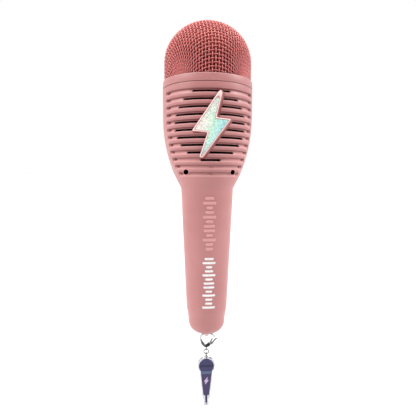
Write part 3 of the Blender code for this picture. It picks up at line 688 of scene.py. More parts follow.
def camera():
    """Camera in front of the grille, a little to one side and looking slightly down."""
    back = Vector((math.sin(CAMERA_AZIMUTH), -math.cos(CAMERA_AZIMUTH), 0))
    right = Vector((math.cos(CAMERA_AZIMUTH), math.sin(CAMERA_AZIMUTH), 0))
    up = Vector((0, 0, 1))
    behind = back * math.cos(CAMERA_PITCH) + up * math.sin(CAMERA_PITCH)
    above = up * math.cos(CAMERA_PITCH) - back * math.sin(CAMERA_PITCH)
    turn = Matrix((right, above, behind)).transposed().to_4x4()
    data = bpy.data.cameras.new("camera")
    data.lens = CAMERA_LENS
    data.clip_start = 0.01
    data.clip_end = 200.0
    made = bpy.data.objects.new("camera", data)
    bpy.context.scene.collection.objects.link(made)
    spot = (back * CAMERA_DISTANCE + right * CAMERA_SIDE + up * CAMERA_HEIGHT) * MM
    made.matrix_world = Matrix.Translation(spot) @ turn @ Matrix.Rotation(CAMERA_ROLL, 4, "Z")
    bpy.context.scene.camera = made


def surroundings():
    """A white world that gives less light from the front, though the camera sees it white."""
    scene = bpy.context.scene
    scene.view_settings.view_transform = "Standard"
    world = bpy.data.worlds.new("white_surroundings")
    world.use_nodes = True
    scene.world = world
    nodes, links = world.node_tree.nodes, world.node_tree.links
    backdrop = nodes["Background"]
    backdrop.inputs["Color"].default_value = (1.0, 1.0, 1.0, 1.0)
    split = nodes.new("ShaderNodeSeparateXYZ")
    links.new(nodes.new("ShaderNodeTexCoord").outputs["Generated"], split.inputs["Vector"])
    fade = nodes.new("ShaderNodeMapRange")
    for key, value in (("From Min", -0.9), ("From Max", -0.15), ("To Min", 0.0), ("To Max", 1.0)):
        fade.inputs[key].default_value = value
    links.new(split.outputs["Y"], fade.inputs["Value"])
    strength = nodes.new("ShaderNodeMath")
    strength.operation = "MAXIMUM"
    links.new(fade.outputs["Result"], strength.inputs[0])
    links.new(nodes.new("ShaderNodeLightPath").outputs["Is Camera Ray"], strength.inputs[1])
    links.new(strength.outputs[0], backdrop.inputs["Strength"])


def floor():
    """Pale floor a little under the charm."""
    level = CAD_BOX[0].z / MM - FLOOR_DROP
    corners = [(a * FLOOR_REACH, b * FLOOR_REACH, level)
               for a, b in ((-1, -1), (1, -1), (1, 1), (-1, 1))]
    look = Look("pale_floor", Roughness=0.9)
    look.colour(look.ramp(look.noise(400.0), (0.3, (0.66, 0.66, 0.66)), (0.7, (0.70, 0.70, 0.70))))
    new_object("floor", corners, [(0, 1, 2, 3)], look.material)


def lamp(name, kind, energy, source):
    """A light whose rays come from a direction."""
    data = bpy.data.lights.new(name, kind)
    data.energy = energy
    made = bpy.data.objects.new(name, data)
    bpy.context.scene.collection.objects.link(made)
    made.rotation_euler = Vector(source).to_track_quat("Z", "Y").to_euler()
    return made


def lights():
    """Wide soft suns on either side and above, and a weak panel low in front for what faces down."""
    for name, azimuth, height, energy in SUNS:
        turn, rise = math.radians(azimuth), math.radians(height)
        sun = lamp(name, "SUN", energy, (math.sin(turn), -math.cos(turn), math.tan(rise)))
        sun.data.angle = SUN_SPREAD
    panel = lamp("low_front_light", "AREA", 0.9, LOW_FRONT_FROM)
    panel.data.size = 0.3
    panel.location = LOW_FRONT_PLACE


# ================================================================ casing

def smooth_step(t):
    """Eased 0 to 1."""
    t = np.clip(t, 0, 1)
    return t * t * (3 - 2 * t)


def grille_depth(z, theta):
    """Depth of the grooves at a height and an angle from the front."""
    depth = np.zeros(theta.shape)
    for k, end_deg in enumerate(GROOVE_END_DEG):
        slot_z = FIRST_SLOT_Z - GROOVE_PITCH * k
        centre = slot_z + GROOVE_RISE
        radius = casing_radius(centre)
        beyond = np.abs(theta) * radius - math.radians(end_deg) * radius
        edge = GROOVE_HALF - np.hypot(np.maximum(beyond, 0), z - centre)
        past_slot = np.abs(theta) * radius - (slot_reach(k) if k < SLOTS else 0) * radius
        floor = GROOVE_DEPTH + (LAND_DEPTH - GROOVE_DEPTH) * smooth_step(past_slot / LAND_RUN)
        sunk = floor * smooth_step(edge / GROOVE_EDGE)
        along = (beyond + PIT_HALF[0] - PIT_OVERRUN) / PIT_HALF[0]
        pit = 1 - np.hypot(along, (z - centre) / PIT_HALF[1])
        depth = np.maximum(depth, sunk + (PIT_DEPTH - LAND_DEPTH) * smooth_step(pit / PIT_EDGE))
    return depth


def slot_reach(k):
    """Angle from the front at which slot k ends."""
    z = FIRST_SLOT_Z - GROOVE_PITCH * k
    return math.asin(math.sqrt(GRILLE_RADIUS ** 2 - (z - SPEAKER_Z) ** 2) / casing_radius(z))


def columns_from(seam_deg, stops):
    """Angles from one seam to the other, listed for one side and mirrored."""
    near_seam = seam_deg - np.array([0, 0.25, 0.5, 0.9, 1.5])
    side = np.radians(np.concatenate([near_seam, *[np.linspace(a, b, n) for a, b, n in stops]]))
    return np.concatenate([-side, side[-2::-1]])


def handle_rows(top):
    """Heights down the flare, round the crease and down the handle to the seam."""
    return np.concatenate([
        np.linspace(top, HANDLE_TOP + 3, 8), np.linspace(HANDLE_TOP + 2.4, HANDLE_TOP - 3, 13),
        np.linspace(HANDLE_TOP - 5, HANDLE_BOTTOM + 1.5, 26), HANDLE_BOTTOM + np.array([0.6, 0.25, 0]),
    ])


def rib_shading(z, theta, depth, sunk):
    """Painted shading of the ribs and grooves: a painted highlight along a rib's upper edge and
    painted shade along its lower one, painted shade on a groove's floor, and the darkest painted shade
    on its overhanging upper wall."""
    upper_edge = np.clip(depth(z + 0.7, theta) - sunk, 0, 1)
    lower_edge = np.clip(depth(z - 1.2, theta) - sunk, 0, 1)
    overhang = np.clip(depth(z - 0.35, theta) - depth(z + 0.35, theta), 0, 1)
    return np.where(sunk > 0.2, -0.28, 0.9 * upper_edge - 0.3 * lower_edge) - 0.75 * overhang


def casing_half(name, columns, rows, depth, slots, facing):
    """Outer and inner skin of one half, joined round its edge and through its slots. The slots are
    a half-angle for each row of faces that is open."""
    theta, z = np.meshgrid(columns, rows)
    for row, reach in slots.items():
        for r in (row, row + 1):
            nearest = np.argmin(np.abs(np.abs(columns) - reach))
            for c in (nearest, len(columns) - 1 - nearest):
                theta[r, c] = math.copysign(reach, columns[c])
    sunk = depth(z, theta)
    seam = (math.radians(90 - SPLIT_DEG) - np.abs(theta)) * casing_radius(z)
    round_depth, round_width, foot_depth = 0.3, 0.5, 0.06
    eased = 1 - np.clip(np.minimum(rows.max() - z, seam) / round_width, 0, 1)
    eased = np.maximum(round_depth * eased ** 2, foot_depth * (z - rows.min() < 0.2))
    radius = casing_radius(z) - sunk - eased
    hollow = casing_radius(z) - WALL
    shape = np.stack([np.sin(theta), np.cos(theta)], -1) * np.array([-facing, facing])
    outer = np.dstack([shape * radius[..., None], z]).reshape(-1, 3)
    inner = np.dstack([shape * hollow[..., None], z]).reshape(-1, 3)

    number = np.arange(theta.size).reshape(theta.shape)
    is_open = np.zeros((len(rows) - 1, len(columns) - 1), bool)
    for row, reach in slots.items():
        is_open[row] = np.abs(theta[row, :-1] + theta[row, 1:]) / 2 < reach
    corner = [number[:-1, :-1], number[1:, :-1], number[1:, 1:], number[:-1, 1:]]
    inside = [c + theta.size for c in corner]
    quads = [np.stack([c[~is_open] for c in skin], 1) for skin in (corner, inside[::-1])]
    beside = np.pad(is_open, ((0, 0), (1, 1)))
    walls = ((0, 3, is_open), (2, 1, is_open), (1, 0, is_open & ~beside[:, :-2]),
             (3, 2, is_open & ~beside[:, 2:]))
    for a, b, where in walls:
        rim = (corner[a], corner[b], inside[b], inside[a])
        quads.append(np.stack([c[where] for c in rim], 1))
    for line in (number[0], number[-1][::-1], number[::-1, 0], number[:, -1]):
        quads.append(np.stack([line[1:], line[:-1], line[:-1] + theta.size, line[1:] + theta.size], 1))
    made = new_object(name, np.vstack([outer, inner]), np.vstack(quads), rose, 50.0)
    # Painted shading: a painted highlight on the rounded edges, and painted shade at the joint under
    # the head ring, in the pits and on the inner skin.
    joint_shade = 1.5 * (rows.max() - z < 0.3)
    pit_shade = 1.4 * np.clip((sunk - 1.42) / 0.3, 0, 1)
    painted_shading = rib_shading(z, theta, depth, sunk) + eased - joint_shade - pit_shade
    mark(made, np.concatenate([painted_shading.ravel(), np.full(theta.size, INSIDE_SHADE)]))
    return made


def front_casing():
    """Front half: rounded grooves with deep ends, real slots and two screw holes."""
    columns = columns_from(90 - SPLIT_DEG, [(87, 69, 9), (68, 54, 29), (53, 0, 48)])
    across_groove = [2.3, 2.05, 1.95, 1.85, 1.75, 1.6, 1.45, 1.3, 1.1, SLOT_TOP, SLOT_FOOT,
                     -0.78, -0.95, -1.2, -1.8, -2.5]
    rows = list(BODY_TOP - np.array([0, 0.2, 0.45, 1.2, 2.6]))
    slots = {}
    for k in range(GROOVES):
        if k < SLOTS:
            slots[len(rows) + across_groove.index(SLOT_TOP)] = slot_reach(k)
        rows += [FIRST_SLOT_Z - GROOVE_PITCH * k + step for step in across_groove]
    rows = np.concatenate([rows, handle_rows(rows[-1] - 0.8)])
    made = casing_half("front_casing", columns, rows, grille_depth, slots, -1)
    for side in (-1, 1):
        cut(made, pin_cutter(side * SCREW_X, SCREW_Z, HOLE_RADIUS, -30.0, -12.0))
    place(made, "microphone", "casing", "front_shell")


def plain(z, theta):
    """The rear half has no grooves."""
    return np.zeros(theta.shape)


def rear_casing():
    """Rear half, with the openings under the control pad and the port and two counterbores."""
    columns = columns_from(90 - SPLIT_DEG, [(86, 0, 44)])
    rows = np.concatenate([BODY_TOP - np.array([0, 0.2, 0.45, 1.2, 2.6]), np.arange(121, 62, -3.0),
                           handle_rows(60.0)])
    made = casing_half("rear_casing", columns, rows, plain, {}, 1)
    for side in (-1, 1):
        cut(made, pin_cutter(side * CASE_SCREW_X, CASE_SCREW_Z, HOLE_RADIUS, 36.0, 12.0))
    for opening in (rounded(5.5, 25.0, 4.0, (0, PAD_Z)), rounded(5.2, 2.4, 2.2, (0, PORT_Z))):
        cut(made, loft("cutter", [standing(opening, 8.0), standing(opening, 30.0)], None))
    place(made, "microphone", "casing", "rear_shell")


def seam_tongues():
    """The front half's tongues, which close the side seams from inside."""
    half_width = 1.8
    thick = 0.7
    for name, side in (("left", -1), ("right", 1)):
        layers = []
        for z in np.linspace(HANDLE_BOTTOM + 0.3, BODY_TOP - 0.3, 60):
            outer = float(casing_radius(z)) - WALL + 0.02
            corners = ((-half_width, outer), (half_width, outer), (half_width, outer - thick),
                       (-half_width, outer - thick))
            layers.append([(side * math.sqrt(r ** 2 - y ** 2), y, z) for y, r in corners])
        made = loft(f"seam_tongue_{name}", layers, rose)
        # Painted shade: the tongues sit deep in the seams.
        mark(made, DEEP_SHADE)
        place(made, "microphone", "casing")


def screw_holes():
    """Moulded lips round the screw holes and the bosses that the screws bear on."""
    places = [(-SCREW_X, SCREW_Z, -1), (SCREW_X, SCREW_Z, -1),
              (-CASE_SCREW_X, CASE_SCREW_Z, 1), (CASE_SCREW_X, CASE_SCREW_Z, 1)]
    turns = full_turn(64)
    lip_section = ((-0.02, -0.9), (-0.02, 0.02), (0.12, 0.12), (0.3, 0.12), (0.45, 0.02), (0.45, -0.3))
    boss_radius = 2.6
    for i, (x, z, side) in enumerate(places):
        layers = []
        for beyond, lift in lip_section:
            radius = HOLE_RADIUS + beyond
            ax, az = x + radius * np.cos(turns), z + radius * np.sin(turns)
            layers.append(np.stack([ax, skin_y(ax, az, side, lift), az], 1))
        lip = loft(f"screw_lip_{i + 1}", layers + layers[:1], rose, (False, False))
        # Painted highlight on the lip's rim.
        mark(lip, RAISED_HIGHLIGHT)
        place(lip, "microphone", "casing")
        near, far, axis = (9.9, 14.8, "-Y") if side < 0 else (12.0, 19.0, "Y")
        profile = [(HOLE_RADIUS, near), (boss_radius, near), (boss_radius, far), (HOLE_RADIUS, far)]
        boss = turned(f"screw_boss_{i + 1}", profile, rose, 40, (x, 0, z), axis)
        # Painted shade down the hole.
        mark(boss, DEEP_SHADE)
        place(boss, "microphone", "casing")


def tail():
    """Round end cap with the lug that the clasp hooks into."""
    foot = low("tail_cap").z + 4.3
    top = HANDLE_BOTTOM - 0.05
    rim = HANDLE_FOOT_RADIUS
    shoulder, shoulder_radius = -57.0, 15.0
    outer = [(rim - 2.5, top), (rim - 0.1, top), (rim - 0.04, top - 0.04), (rim - 0.01, top - 0.12)]
    for z in np.linspace(top - 1.2, shoulder + 1.0, 6):
        t = (z - shoulder) / (top - shoulder)
        outer.append((shoulder_radius + (rim - shoulder_radius) * t ** 1.15, z))
    power = 2.5
    for t in np.linspace(0, 1, 30)[:-1] ** 0.8:
        radius = shoulder_radius * (1 - t ** power) ** (1 / power)
        outer.append((radius, shoulder + (foot - shoulder) * t))
    outer += [(2.4, foot), (0, foot)]
    inner = [(0, foot + 2.2), (8.0, foot + 2.2), (11.6, -61.0), (12.7, -54.0)]
    made = turned("end_cap", outer + inner, rose, 128)
    place(made, "microphone", "casing", "tail_cap")
    lug_z, bore_z = -70.4, -71.4
    outline = rounded(1.9, 2.9, 1.85, (0, lug_z), 10)
    sides = ((-1.5, 0.86), (-1.35, 0.96), (-1.1, 1.0), (1.1, 1.0), (1.35, 0.96), (1.5, 0.86))
    layers = []
    for x, size in sides:
        y, z = outline[:, 0] * size, (outline[:, 1] - lug_z) * size + lug_z
        layers.append(np.stack([np.full(len(outline), x), y, z], 1))
    lug = loft("tail_lug", layers, rose_pale)
    bore = turned("cutter", [(0, -3), (1.15, -3), (1.15, 3), (0, 3)], None, 40)
    lying = Matrix.Rotation(math.pi / 2, 4, "Y")
    bore.data.transform(Matrix.Translation((0, 0, bore_z * MM)) @ lying)
    cut(lug, bore)
    place(lug, "microphone", "casing")


# ================================================================ head

def head_ring():
    """Collar between the mesh and the casing, its top edge rounded over."""
    seam = BODY_TOP
    bore = 24.0
    profile = [
        (bore, seam), (BODY_RADIUS - 0.4, seam), (BODY_RADIUS - 0.12, seam + 0.1),
        (BODY_RADIUS, seam + 0.4), (BODY_RADIUS - 0.02, seam + 2.6),
        (BODY_RADIUS - 0.12, RING_TOP - 0.9),
        (BODY_RADIUS - 0.25, RING_TOP - 0.4), (BODY_RADIUS - 0.45, RING_TOP - 0.1),
        (BODY_RADIUS - 0.7, RING_TOP), (MESH_RADIUS + 0.35, RING_TOP - 0.15),
        (MESH_RADIUS + 0.25, RING_TOP - 0.5), (MESH_RADIUS + 0.25, MESH_FOOT - 0.5),
        (bore, MESH_FOOT - 0.5),
    ]
    made = turned("head_collar", profile, rose, 160)
    heights = np.array([v.co.z for v in made.data.vertices]) / MM
    # Painted highlight along the rounded top edge and painted shade at the seam with the casing.
    mark(made, np.clip((heights - RING_TOP + 0.5) / 0.4, 0, 1) - 1.5 * (heights < seam + 0.2))
    place(made, "microphone", "casing", "head_ring")


WIRE_RADIUS = 0.48
WEAVE = 0.43                                # how far a wire swings in and out
WIRE_PITCH = 2.42
WEAVE_TURN = math.radians(5.0)              # how far the net is turned from facing the front
NET_CROSSINGS = 34                          # enough to reach from the top to the mesh's foot
STEPS_A_CELL = 4                            # points along a wire for each cell
NET_RADIUS = MESH_RADIUS - WIRE_RADIUS - WEAVE
NET_RISE = DOME_RISE - WIRE_RADIUS - WEAVE
PRESS = 1.14                                # the cloth's stretch down the dome as it was pressed
WIRE_FOOT = MESH_FOOT + 0.6 - DOME_Z


def onto_dome(points, rise):
    """Points moved onto a dome with a straight skirt, about the dome's centre."""
    scale = np.array([NET_RADIUS, NET_RADIUS, rise])
    ball = points / scale
    ball = ball / np.maximum(np.linalg.norm(ball, axis=-1, keepdims=True), 1e-9) * scale
    across = np.linalg.norm(points[..., :2], axis=-1, keepdims=True)
    around = points[..., :2] / np.maximum(across, 1e-9) * NET_RADIUS
    skirt = np.concatenate([around, points[..., 2:]], -1)
    return np.where(points[..., 2:] > 0, ball, skirt)


def dome_normal(points):
    """Unit normals of the net's dome and skirt, about the dome's centre."""
    normal = points / np.array([NET_RADIUS, NET_RADIUS, NET_RISE]) ** 2
    normal = np.where(points[..., 2:] > 0, normal, normal * [1, 1, 0])
    return normal / np.linalg.norm(normal, axis=-1, keepdims=True)


def straight_thread(count, rise):
    """Radii and heights of crossings one pitch apart, from the top down the dome and its skirt."""
    turns = np.linspace(0, math.pi / 2, 400)
    line = np.stack([NET_RADIUS * np.sin(turns), rise * np.cos(turns)], 1)
    line = np.vstack([line, [NET_RADIUS, -3 * NET_RADIUS]])
    run = np.concatenate([[0], np.cumsum(np.linalg.norm(np.diff(line, axis=0), axis=1))])
    at = WIRE_PITCH * np.arange(count + 1)
    return np.interp(at, run, line[:, 0]), np.interp(at, run, line[:, 1])


def net_quarter(count):
    """Crossings of a cloth of square cells laid over the dome without stretching its threads, and
    then pressed downwards.

    Two threads run straight down from the top. Every other crossing lies one pitch from the two
    before it, so the cells shear between those threads, as they do in a pressed wire dome."""
    rise = NET_RISE / PRESS
    out, up = straight_thread(count, rise)
    net = np.full((count + 1, count + 1, 3), np.nan)
    net[:, 0] = np.stack([out, 0 * out, up], 1)
    net[0, :] = np.stack([0 * out, out, up], 1)
    lowest = WIRE_FOOT / PRESS - 2 * WIRE_PITCH
    for i in range(1, count + 1):
        for j in range(1, count + 1):
            a, b = net[i - 1, j], net[i, j - 1]
            if not (a[2] > lowest or b[2] > lowest):
                continue
            point = onto_dome(a + b - net[i - 1, j - 1], rise)
            for _ in range(8):
                to_a, to_b = point - a, point - b
                point = point - 0.5 * (1 - WIRE_PITCH / np.linalg.norm(to_a)) * to_a
                point = onto_dome(point - 0.5 * (1 - WIRE_PITCH / np.linalg.norm(to_b)) * to_b, rise)
            net[i, j] = point
    return net * [1, 1, PRESS]


def weave_wires(quarter):
    """Centre lines of both sets of wires, swinging over and under at the crossings."""
    count = len(quarter) - 1
    turn = np.array(Matrix.Rotation(WEAVE_TURN, 3, "Z"))
    sets = ([], [])
    for which in (0, 1):
        for j in range(-count, count + 1):
            row = quarter[:, abs(j)] if which == 0 else quarter[abs(j), :]
            good = np.isfinite(row[:, 0])
            stop = len(good) if good.all() else int(np.argmin(good))
            if stop < 2:
                continue
            half = row[:stop]
            mirror, side = np.ones(3), np.ones(3)
            mirror[which] = -1
            side[1 - which] = math.copysign(1, j)
            nodes = np.vstack([half[:0:-1] * mirror, half]) * side
            at = np.arange(len(nodes))
            fine = np.linspace(0, len(nodes) - 1, (len(nodes) - 1) * STEPS_A_CELL + 1)
            line = np.stack([np.interp(fine, at, nodes[:, c]) for c in range(3)], 1)
            line = onto_dome(line, NET_RISE)
            phase = np.pi * (fine - (stop - 1) + j + which)
            line = line + WEAVE * np.cos(phase)[:, None] * dome_normal(line)
            keep = line[:, 2] > WIRE_FOOT
            if keep.sum() > 3:
                sets[which].append(line[keep] @ turn.T)
    return sets


def head_mesh():
    """Woven wire dome: two sets of wires that pass over and under each other."""
    look = wire_look()
    sets = weave_wires(net_quarter(NET_CROSSINGS))
    for name, lines in zip(("mesh_wires_down", "mesh_wires_across"), sets):
        made = tube(name, lines, [WIRE_RADIUS] * len(lines), look, 6, dome_normal)
        points = np.array([v.co for v in made.data.vertices]) / MM
        # The height above the net drives painted shade in the dips and a painted highlight on the
        # crests.
        height = np.sum((points - onto_dome(points, NET_RISE)) * dome_normal(points), 1)
        mark(made, height / (WEAVE + WIRE_RADIUS))
        made.data.transform(Matrix.Translation((0, 0, DOME_Z * MM)))
        place(made, "microphone", "wire_mesh", "head_mesh")


def foam():
    """Lumpy foam liner that fills the mesh from inside."""
    gap = MESH_RADIUS - NET_RADIUS + WEAVE + WIRE_RADIUS + 0.25
    skin, rise = MESH_RADIUS - gap, DOME_RISE - gap
    thick = 7.0
    foot = MESH_FOOT + 0.3
    angles = np.radians(np.linspace(0, 90, 41))
    profile = [(skin, foot), (skin, foot + 8)]
    profile += [(skin * math.cos(a), DOME_Z + rise * math.sin(a)) for a in angles]
    profile += [((skin - thick) * math.cos(a), DOME_Z + (rise - thick) * math.sin(a))
                for a in angles[::-4]]
    profile += [(skin - thick, foot)]
    made = turned("foam_liner", profile, foam_look(), 120)
    coarse, fine = 420, 1100                # lumps to the metre
    dome_from = 0.13                        # no lumps below this height, in metres
    for vertex in made.data.vertices:
        lump = noise.noise(vertex.co * coarse) + 0.5 * noise.noise(vertex.co * fine)
        vertex.co *= 1 - 0.004 * (lump + 0.8) * (vertex.co.z > dome_from)
    place(made, "microphone", "foam", "head_foam")


# ================================================================ badge and marks

def badge():
    """Bolt-shaped frame with a rounded rim, on a wall that spreads to the right down to the ribs,
    and its foil. Each ring of the rim is its inset, how far it lies behind the face, its painted
    shading (a painted highlight along the crest, painted shade next to the foil), and how much of
    that it loses to painted shade on the side that faces down and right. The wall carries a
    painted shadow on the ribs."""
    face = low("badge_frame").y + BADGE_LEAN * (high("badge_frame").z - BADGE_Z)
    spacing, softening = 0.45, 5
    fill_from, fill_to = 0.3, 0.95
    rim = (
        (-0.1, 0.9, -0.7, 0.2), (0.0, 0.5, 0.0, 0.5), (0.13, 0.2, 0.5, 0.6), (0.3, 0.05, 1.0, 0.5),
        (0.5, 0.0, 1.0, 0.0), (0.68, 0.04, 0.9, 0.0), (0.84, 0.16, 0.5, 0.0),
        (0.95, 0.4, -0.5, 0.0), (0.98, 0.75, -1.2, 0.0),
    )
    film = ((1.02, 0.7), (1.06, 0.5), (1.13, 0.37), (1.2, 0.32), (1.26, 0.31), (1.3, 0.31))
    _, counts = dense(BADGE_CORNERS, spacing, 0)

    def layer(inset, y):
        corners = inset_corners(BADGE_CORNERS, inset)
        filled = np.clip((inset - fill_from) / (fill_to - fill_from), 0, 1)
        corners[:3] += np.array(BADGE_TIP_FILL) * filled
        points, _ = dense(corners, spacing, softening, counts)
        points = points + [0, BADGE_Z]
        return standing(points, y - BADGE_LEAN * (points[:, 1] - BADGE_Z))

    foot = layer(-0.5, 0) + [1.3, 0, -0.4]
    foot[:, 1] = skin_y(foot[:, 0], foot[:, 2], -1, 0.05)
    layers = [foot] + [layer(inset, face + drop) for inset, drop, _, _ in rim]
    shaded_side = np.clip(-inward(foot[:, ::2]) @ [0.8, -0.6], 0, 1)
    # The foot carries a painted shadow, and the rings get painted shade where they face down and
    # right.
    painted_shading = [np.full(len(foot), -1.9)] + [wear_and_highlight - loss * shaded_side for _, _, wear_and_highlight, loss in rim]
    made = loft("badge_rim", layers, badge_rim_look(), (False, True))
    mark(made, np.concatenate(painted_shading))
    place(made, "microphone", "badge_rim", "badge_frame")
    film = [layer(inset, face + drop) for inset, drop in film]
    made = loft("badge_film", film, foil_look())
    place(made, "microphone", "holographic_foil", "badge_foil")


def bar(centre_x, z, half_width, half_height, lift, ease):
    """Vertices and faces of a round-ended bar that hugs the handle's front."""
    turns = np.linspace(0, math.pi, 15)
    layers = []
    for inset, rise in ((0, -0.15), (0, 0.3 * lift), (ease * 0.3, 0.8 * lift), (ease, lift)):
        radius = half_height - inset
        span = half_width - half_height
        right = np.stack([span + radius * np.sin(turns), radius * np.cos(turns)], 1)
        along = np.linspace(span, -span, 9)[1:-1]
        lower = np.stack([along, np.full(len(along), -radius)], 1)
        outline = np.vstack([right, lower, -right, -lower]) + [centre_x, z]
        layers.append(standing(outline, skin_y(outline[:, 0], outline[:, 1], -1, rise)))
    count = len(layers[0])
    faces = ring_faces(len(layers), count)
    top = np.arange(count) + (len(layers) - 1) * count
    # The cap is split into strips across the bar, because the handle curves along it.
    start = np.roll(top, -(len(turns) // 2))
    for i in range(count // 2 - 1):
        a, b = start[i], start[i + 1]
        c, d = start[count - 2 - i], start[count - 1 - i]
        faces.append([a, b, c, d] if len({a, b, c, d}) == 4 else [a, b, c])
    return np.vstack(layers), faces


def bars(name, heights, half_height, lift, ease, look, slot=None):
    """A column of level bars of changing width, in one piece."""
    verts, faces, first = [], [], 0
    for i, z in enumerate(heights):
        wave = abs(math.sin(1.15 * i + 0.5) + 0.35 * math.sin(2.7 * i))
        points, quads = bar(0.3, z, min(5.1, 2.3 + 2.6 * wave), half_height, lift, ease)
        verts.append(points)
        faces += [[int(v) + first for v in quad] for quad in quads]
        first += len(points)
    made = new_object(name, np.vstack(verts), faces, look)
    tidy_normals(made)
    place(made, "microphone", slot)
    return made


def level_bars():
    """A generic sound level meter down the handle: raised bars above, printed ones below."""
    made = bars("raised_level_bars", np.linspace(43.5, 4.5, 12), 1.15, 0.4, 0.35, rose, "casing")
    # Painted highlight on the raised bars.
    mark(made, RAISED_HIGHLIGHT)
    bars("printed_level_bars", np.linspace(-3.4, -42.6, 13), 0.85, 0.05, 0.06,
         ink("white_print", WHITE_INK))


# ================================================================ speaker and controls

def speaker_cloth():
    """Black cloth stretched over the speaker's gasket."""
    radius = high("speaker_cloth").x
    y = low("speaker_cloth").y + 0.1
    rings = np.linspace(0, radius, 25)[1:]
    spokes = 72
    turns = full_turn(spokes)
    verts = [(0, y, SPEAKER_Z)]
    for r in rings:
        verts += [(r * math.cos(t), y, SPEAKER_Z + r * math.sin(t)) for t in turns]
    faces = [(0, 1 + i, 1 + (i + 1) % spokes) for i in range(spokes)]
    faces += [quad + 1 for quad in ring_faces(len(rings), spokes)]
    look = woven("grille_weave", (0.004, 0.002, 0.003), 0.5)
    made = new_object("grille_cloth", verts, faces, look)
    place(made, "microphone", "black_cloth", "speaker_cloth")


def dust_screen():
    """Thin black screen close behind the slots, curved like the casing."""
    turns = full_turn(72)
    front, back = 0.15, 0.5                 # its two faces, behind the casing's inner skin

    def layer(radius, depth):
        x, z = radius * np.cos(turns), SPEAKER_Z + radius * np.sin(turns)
        return np.stack([x, skin_y(x, z, -1, -WALL - depth), z], 1)

    radii = np.linspace(0.6, GRILLE_RADIUS + 0.6, 19)
    layers = [layer(radius, front) for radius in radii]
    layers += [layer(radius, back) for radius in radii[::-1]]
    look = dull_black("screen_black", (0.0012, 0.0008, 0.0009), 0.8, 0.95, 0.15, shine=0.06)
    place(loft("dust_screen", layers, look), "microphone", "black_plastic")


def pad_lean(z):
    """The pad's face leans with the handle."""
    return HANDLE_SLOPE * (np.asarray(z) - PAD_Z)


def control_pad():
    """Rounded pad with a button well for each key and a hole for the light."""
    face = high("control_pad").y - HANDLE_SLOPE * (high("control_pad").z - PAD_Z)
    half_x, half_z = high("control_pad").x, high("control_pad").z - PAD_Z

    def layer(inset, y):
        outline = rounded(half_x - inset, half_z - inset, 5.0 - inset, (0, PAD_Z))
        return standing(outline, y + pad_lean(outline[:, 1]))

    edge = ((0, -3.0), (0, -0.5), (0.12, -0.2), (0.35, -0.04), (0.7, 0), (1.1, 0), (1.25, -0.12),
            (1.4, -0.15))
    layers = [layer(inset, face + lift) for inset, lift in edge]
    made = loft("control_plate", layers, rose_deep)
    for key in KEYS:
        cut(made, pin_cutter(0, middle(f"{key}_button").z, 4.25, 10.0, 26.0, 72))
    cut(made, pin_cutter(0, middle("status_light").z, 1.15, 10.0, 26.0))
    place(made, "microphone", "control_panel", "control_pad")


def symbols(key, z):
    """Outlines of a key's generic symbol."""
    if key == "volume_up":
        arm, half = 1.7, 0.28
        return [np.array([(-half, arm), (half, arm), (half, half), (arm, half), (arm, -half),
                          (half, -half), (half, -arm), (-half, -arm), (-half, -half), (-arm, -half),
                          (-arm, half), (-half, half)]) + [0, z]]
    if key == "volume_down":
        return [rounded(1.7, 0.28, 0.1, (0, z), 3)]
    if key == "mode":
        play = np.array([(-1.6, 1.3), (0.5, 0.0), (-1.6, -1.3)]) + [0, z]
        return [play, rounded(0.22, 1.3, 0.08, (1.0, z), 3), rounded(0.22, 1.3, 0.08, (1.8, z), 3)]
    turns = np.radians(np.linspace(60, -240, 40))
    outer = np.stack([1.6 * np.cos(turns), 1.6 * np.sin(turns)], 1)
    inner = np.stack([1.12 * np.cos(turns[::-1]), 1.12 * np.sin(turns[::-1])], 1)
    return [np.vstack([outer, inner]) + [0, z - 0.1], rounded(0.22, 1.0, 0.1, (0, z + 1.1), 3)]


def keys():
    """Four sprung buttons with printed symbols."""
    print_look = ink("grey_print", (0.10, 0.05, 0.05))
    for key in KEYS:
        node = f"{key}_button"
        z, top, foot = middle(node).z, high(node).y, low(node).y
        profile = [
            (0, foot), (1.4, foot), (1.4, top - 3.6), (3.85, top - 3.6), (4.0, top - 3.45),
            (4.0, top - 0.62), (3.93, top - 0.36), (3.75, top - 0.16), (3.5, top - 0.05),
            (3.2, top), (2.9, top - 0.02), (2.5, top - 0.06), (0, top - 0.08),
        ]
        made = turned(f"{key}_cap", profile, white_plastic, 96, (0, 0, z), "Y")
        place(made, f"{key}_key", "button_caps", node)
        for i, outline in enumerate(symbols(key, z)):
            name = f"{key}_symbol_{i + 1}"
            place(slab(name, outline, top - 0.12, top - 0.03, print_look, 0.02), f"{key}_key")


def port():
    """Flat surround of the charging socket."""
    face = high("port_surround").y
    half_x, half_z = high("port_surround").x, high("port_surround").z - PORT_Z
    section = (
        (4.8, 2.0, 1.9, -4.5), (4.8, 2.0, 1.9, -0.25), (4.9, 2.1, 2.0, -0.05), (5.1, 2.3, 2.2, 0),
        (half_x - 0.4, half_z - 0.4, 3.2, 0), (half_x - 0.1, half_z - 0.1, 3.5, -0.1),
        (half_x, half_z, 3.6, -0.4), (half_x, half_z, 3.6, -3.2),
    )
    layers = [standing(rounded(half_a, half_b, corner, (0, PORT_Z)), face + lift)
              for half_a, half_b, corner, lift in section]
    made = loft("port_frame", layers + layers[:1], rose_deep, (False, False))
    place(made, "microphone", "control_panel", "port_surround")


# ================================================================ clasp and rings

def curve_through(points, steps):
    """Catmull-Rom curve through (x, z) points, in the XZ plane."""
    points = [np.array(p, float) for p in points]
    ends = [points[0]] + points + [points[-1]]
    path = []
    for a, b, c, d in zip(ends, ends[1:], ends[2:], ends[3:]):
        for t in np.linspace(0, 1, steps, endpoint=False):
            path.append(0.5 * (2 * b + (c - a) * t + (2 * a - 5 * b + 4 * c - d) * t ** 2
                               + (3 * b - a - 3 * c + d) * t ** 3))
    path.append(points[-1])
    return np.array([(x, 0, z) for x, z in path])


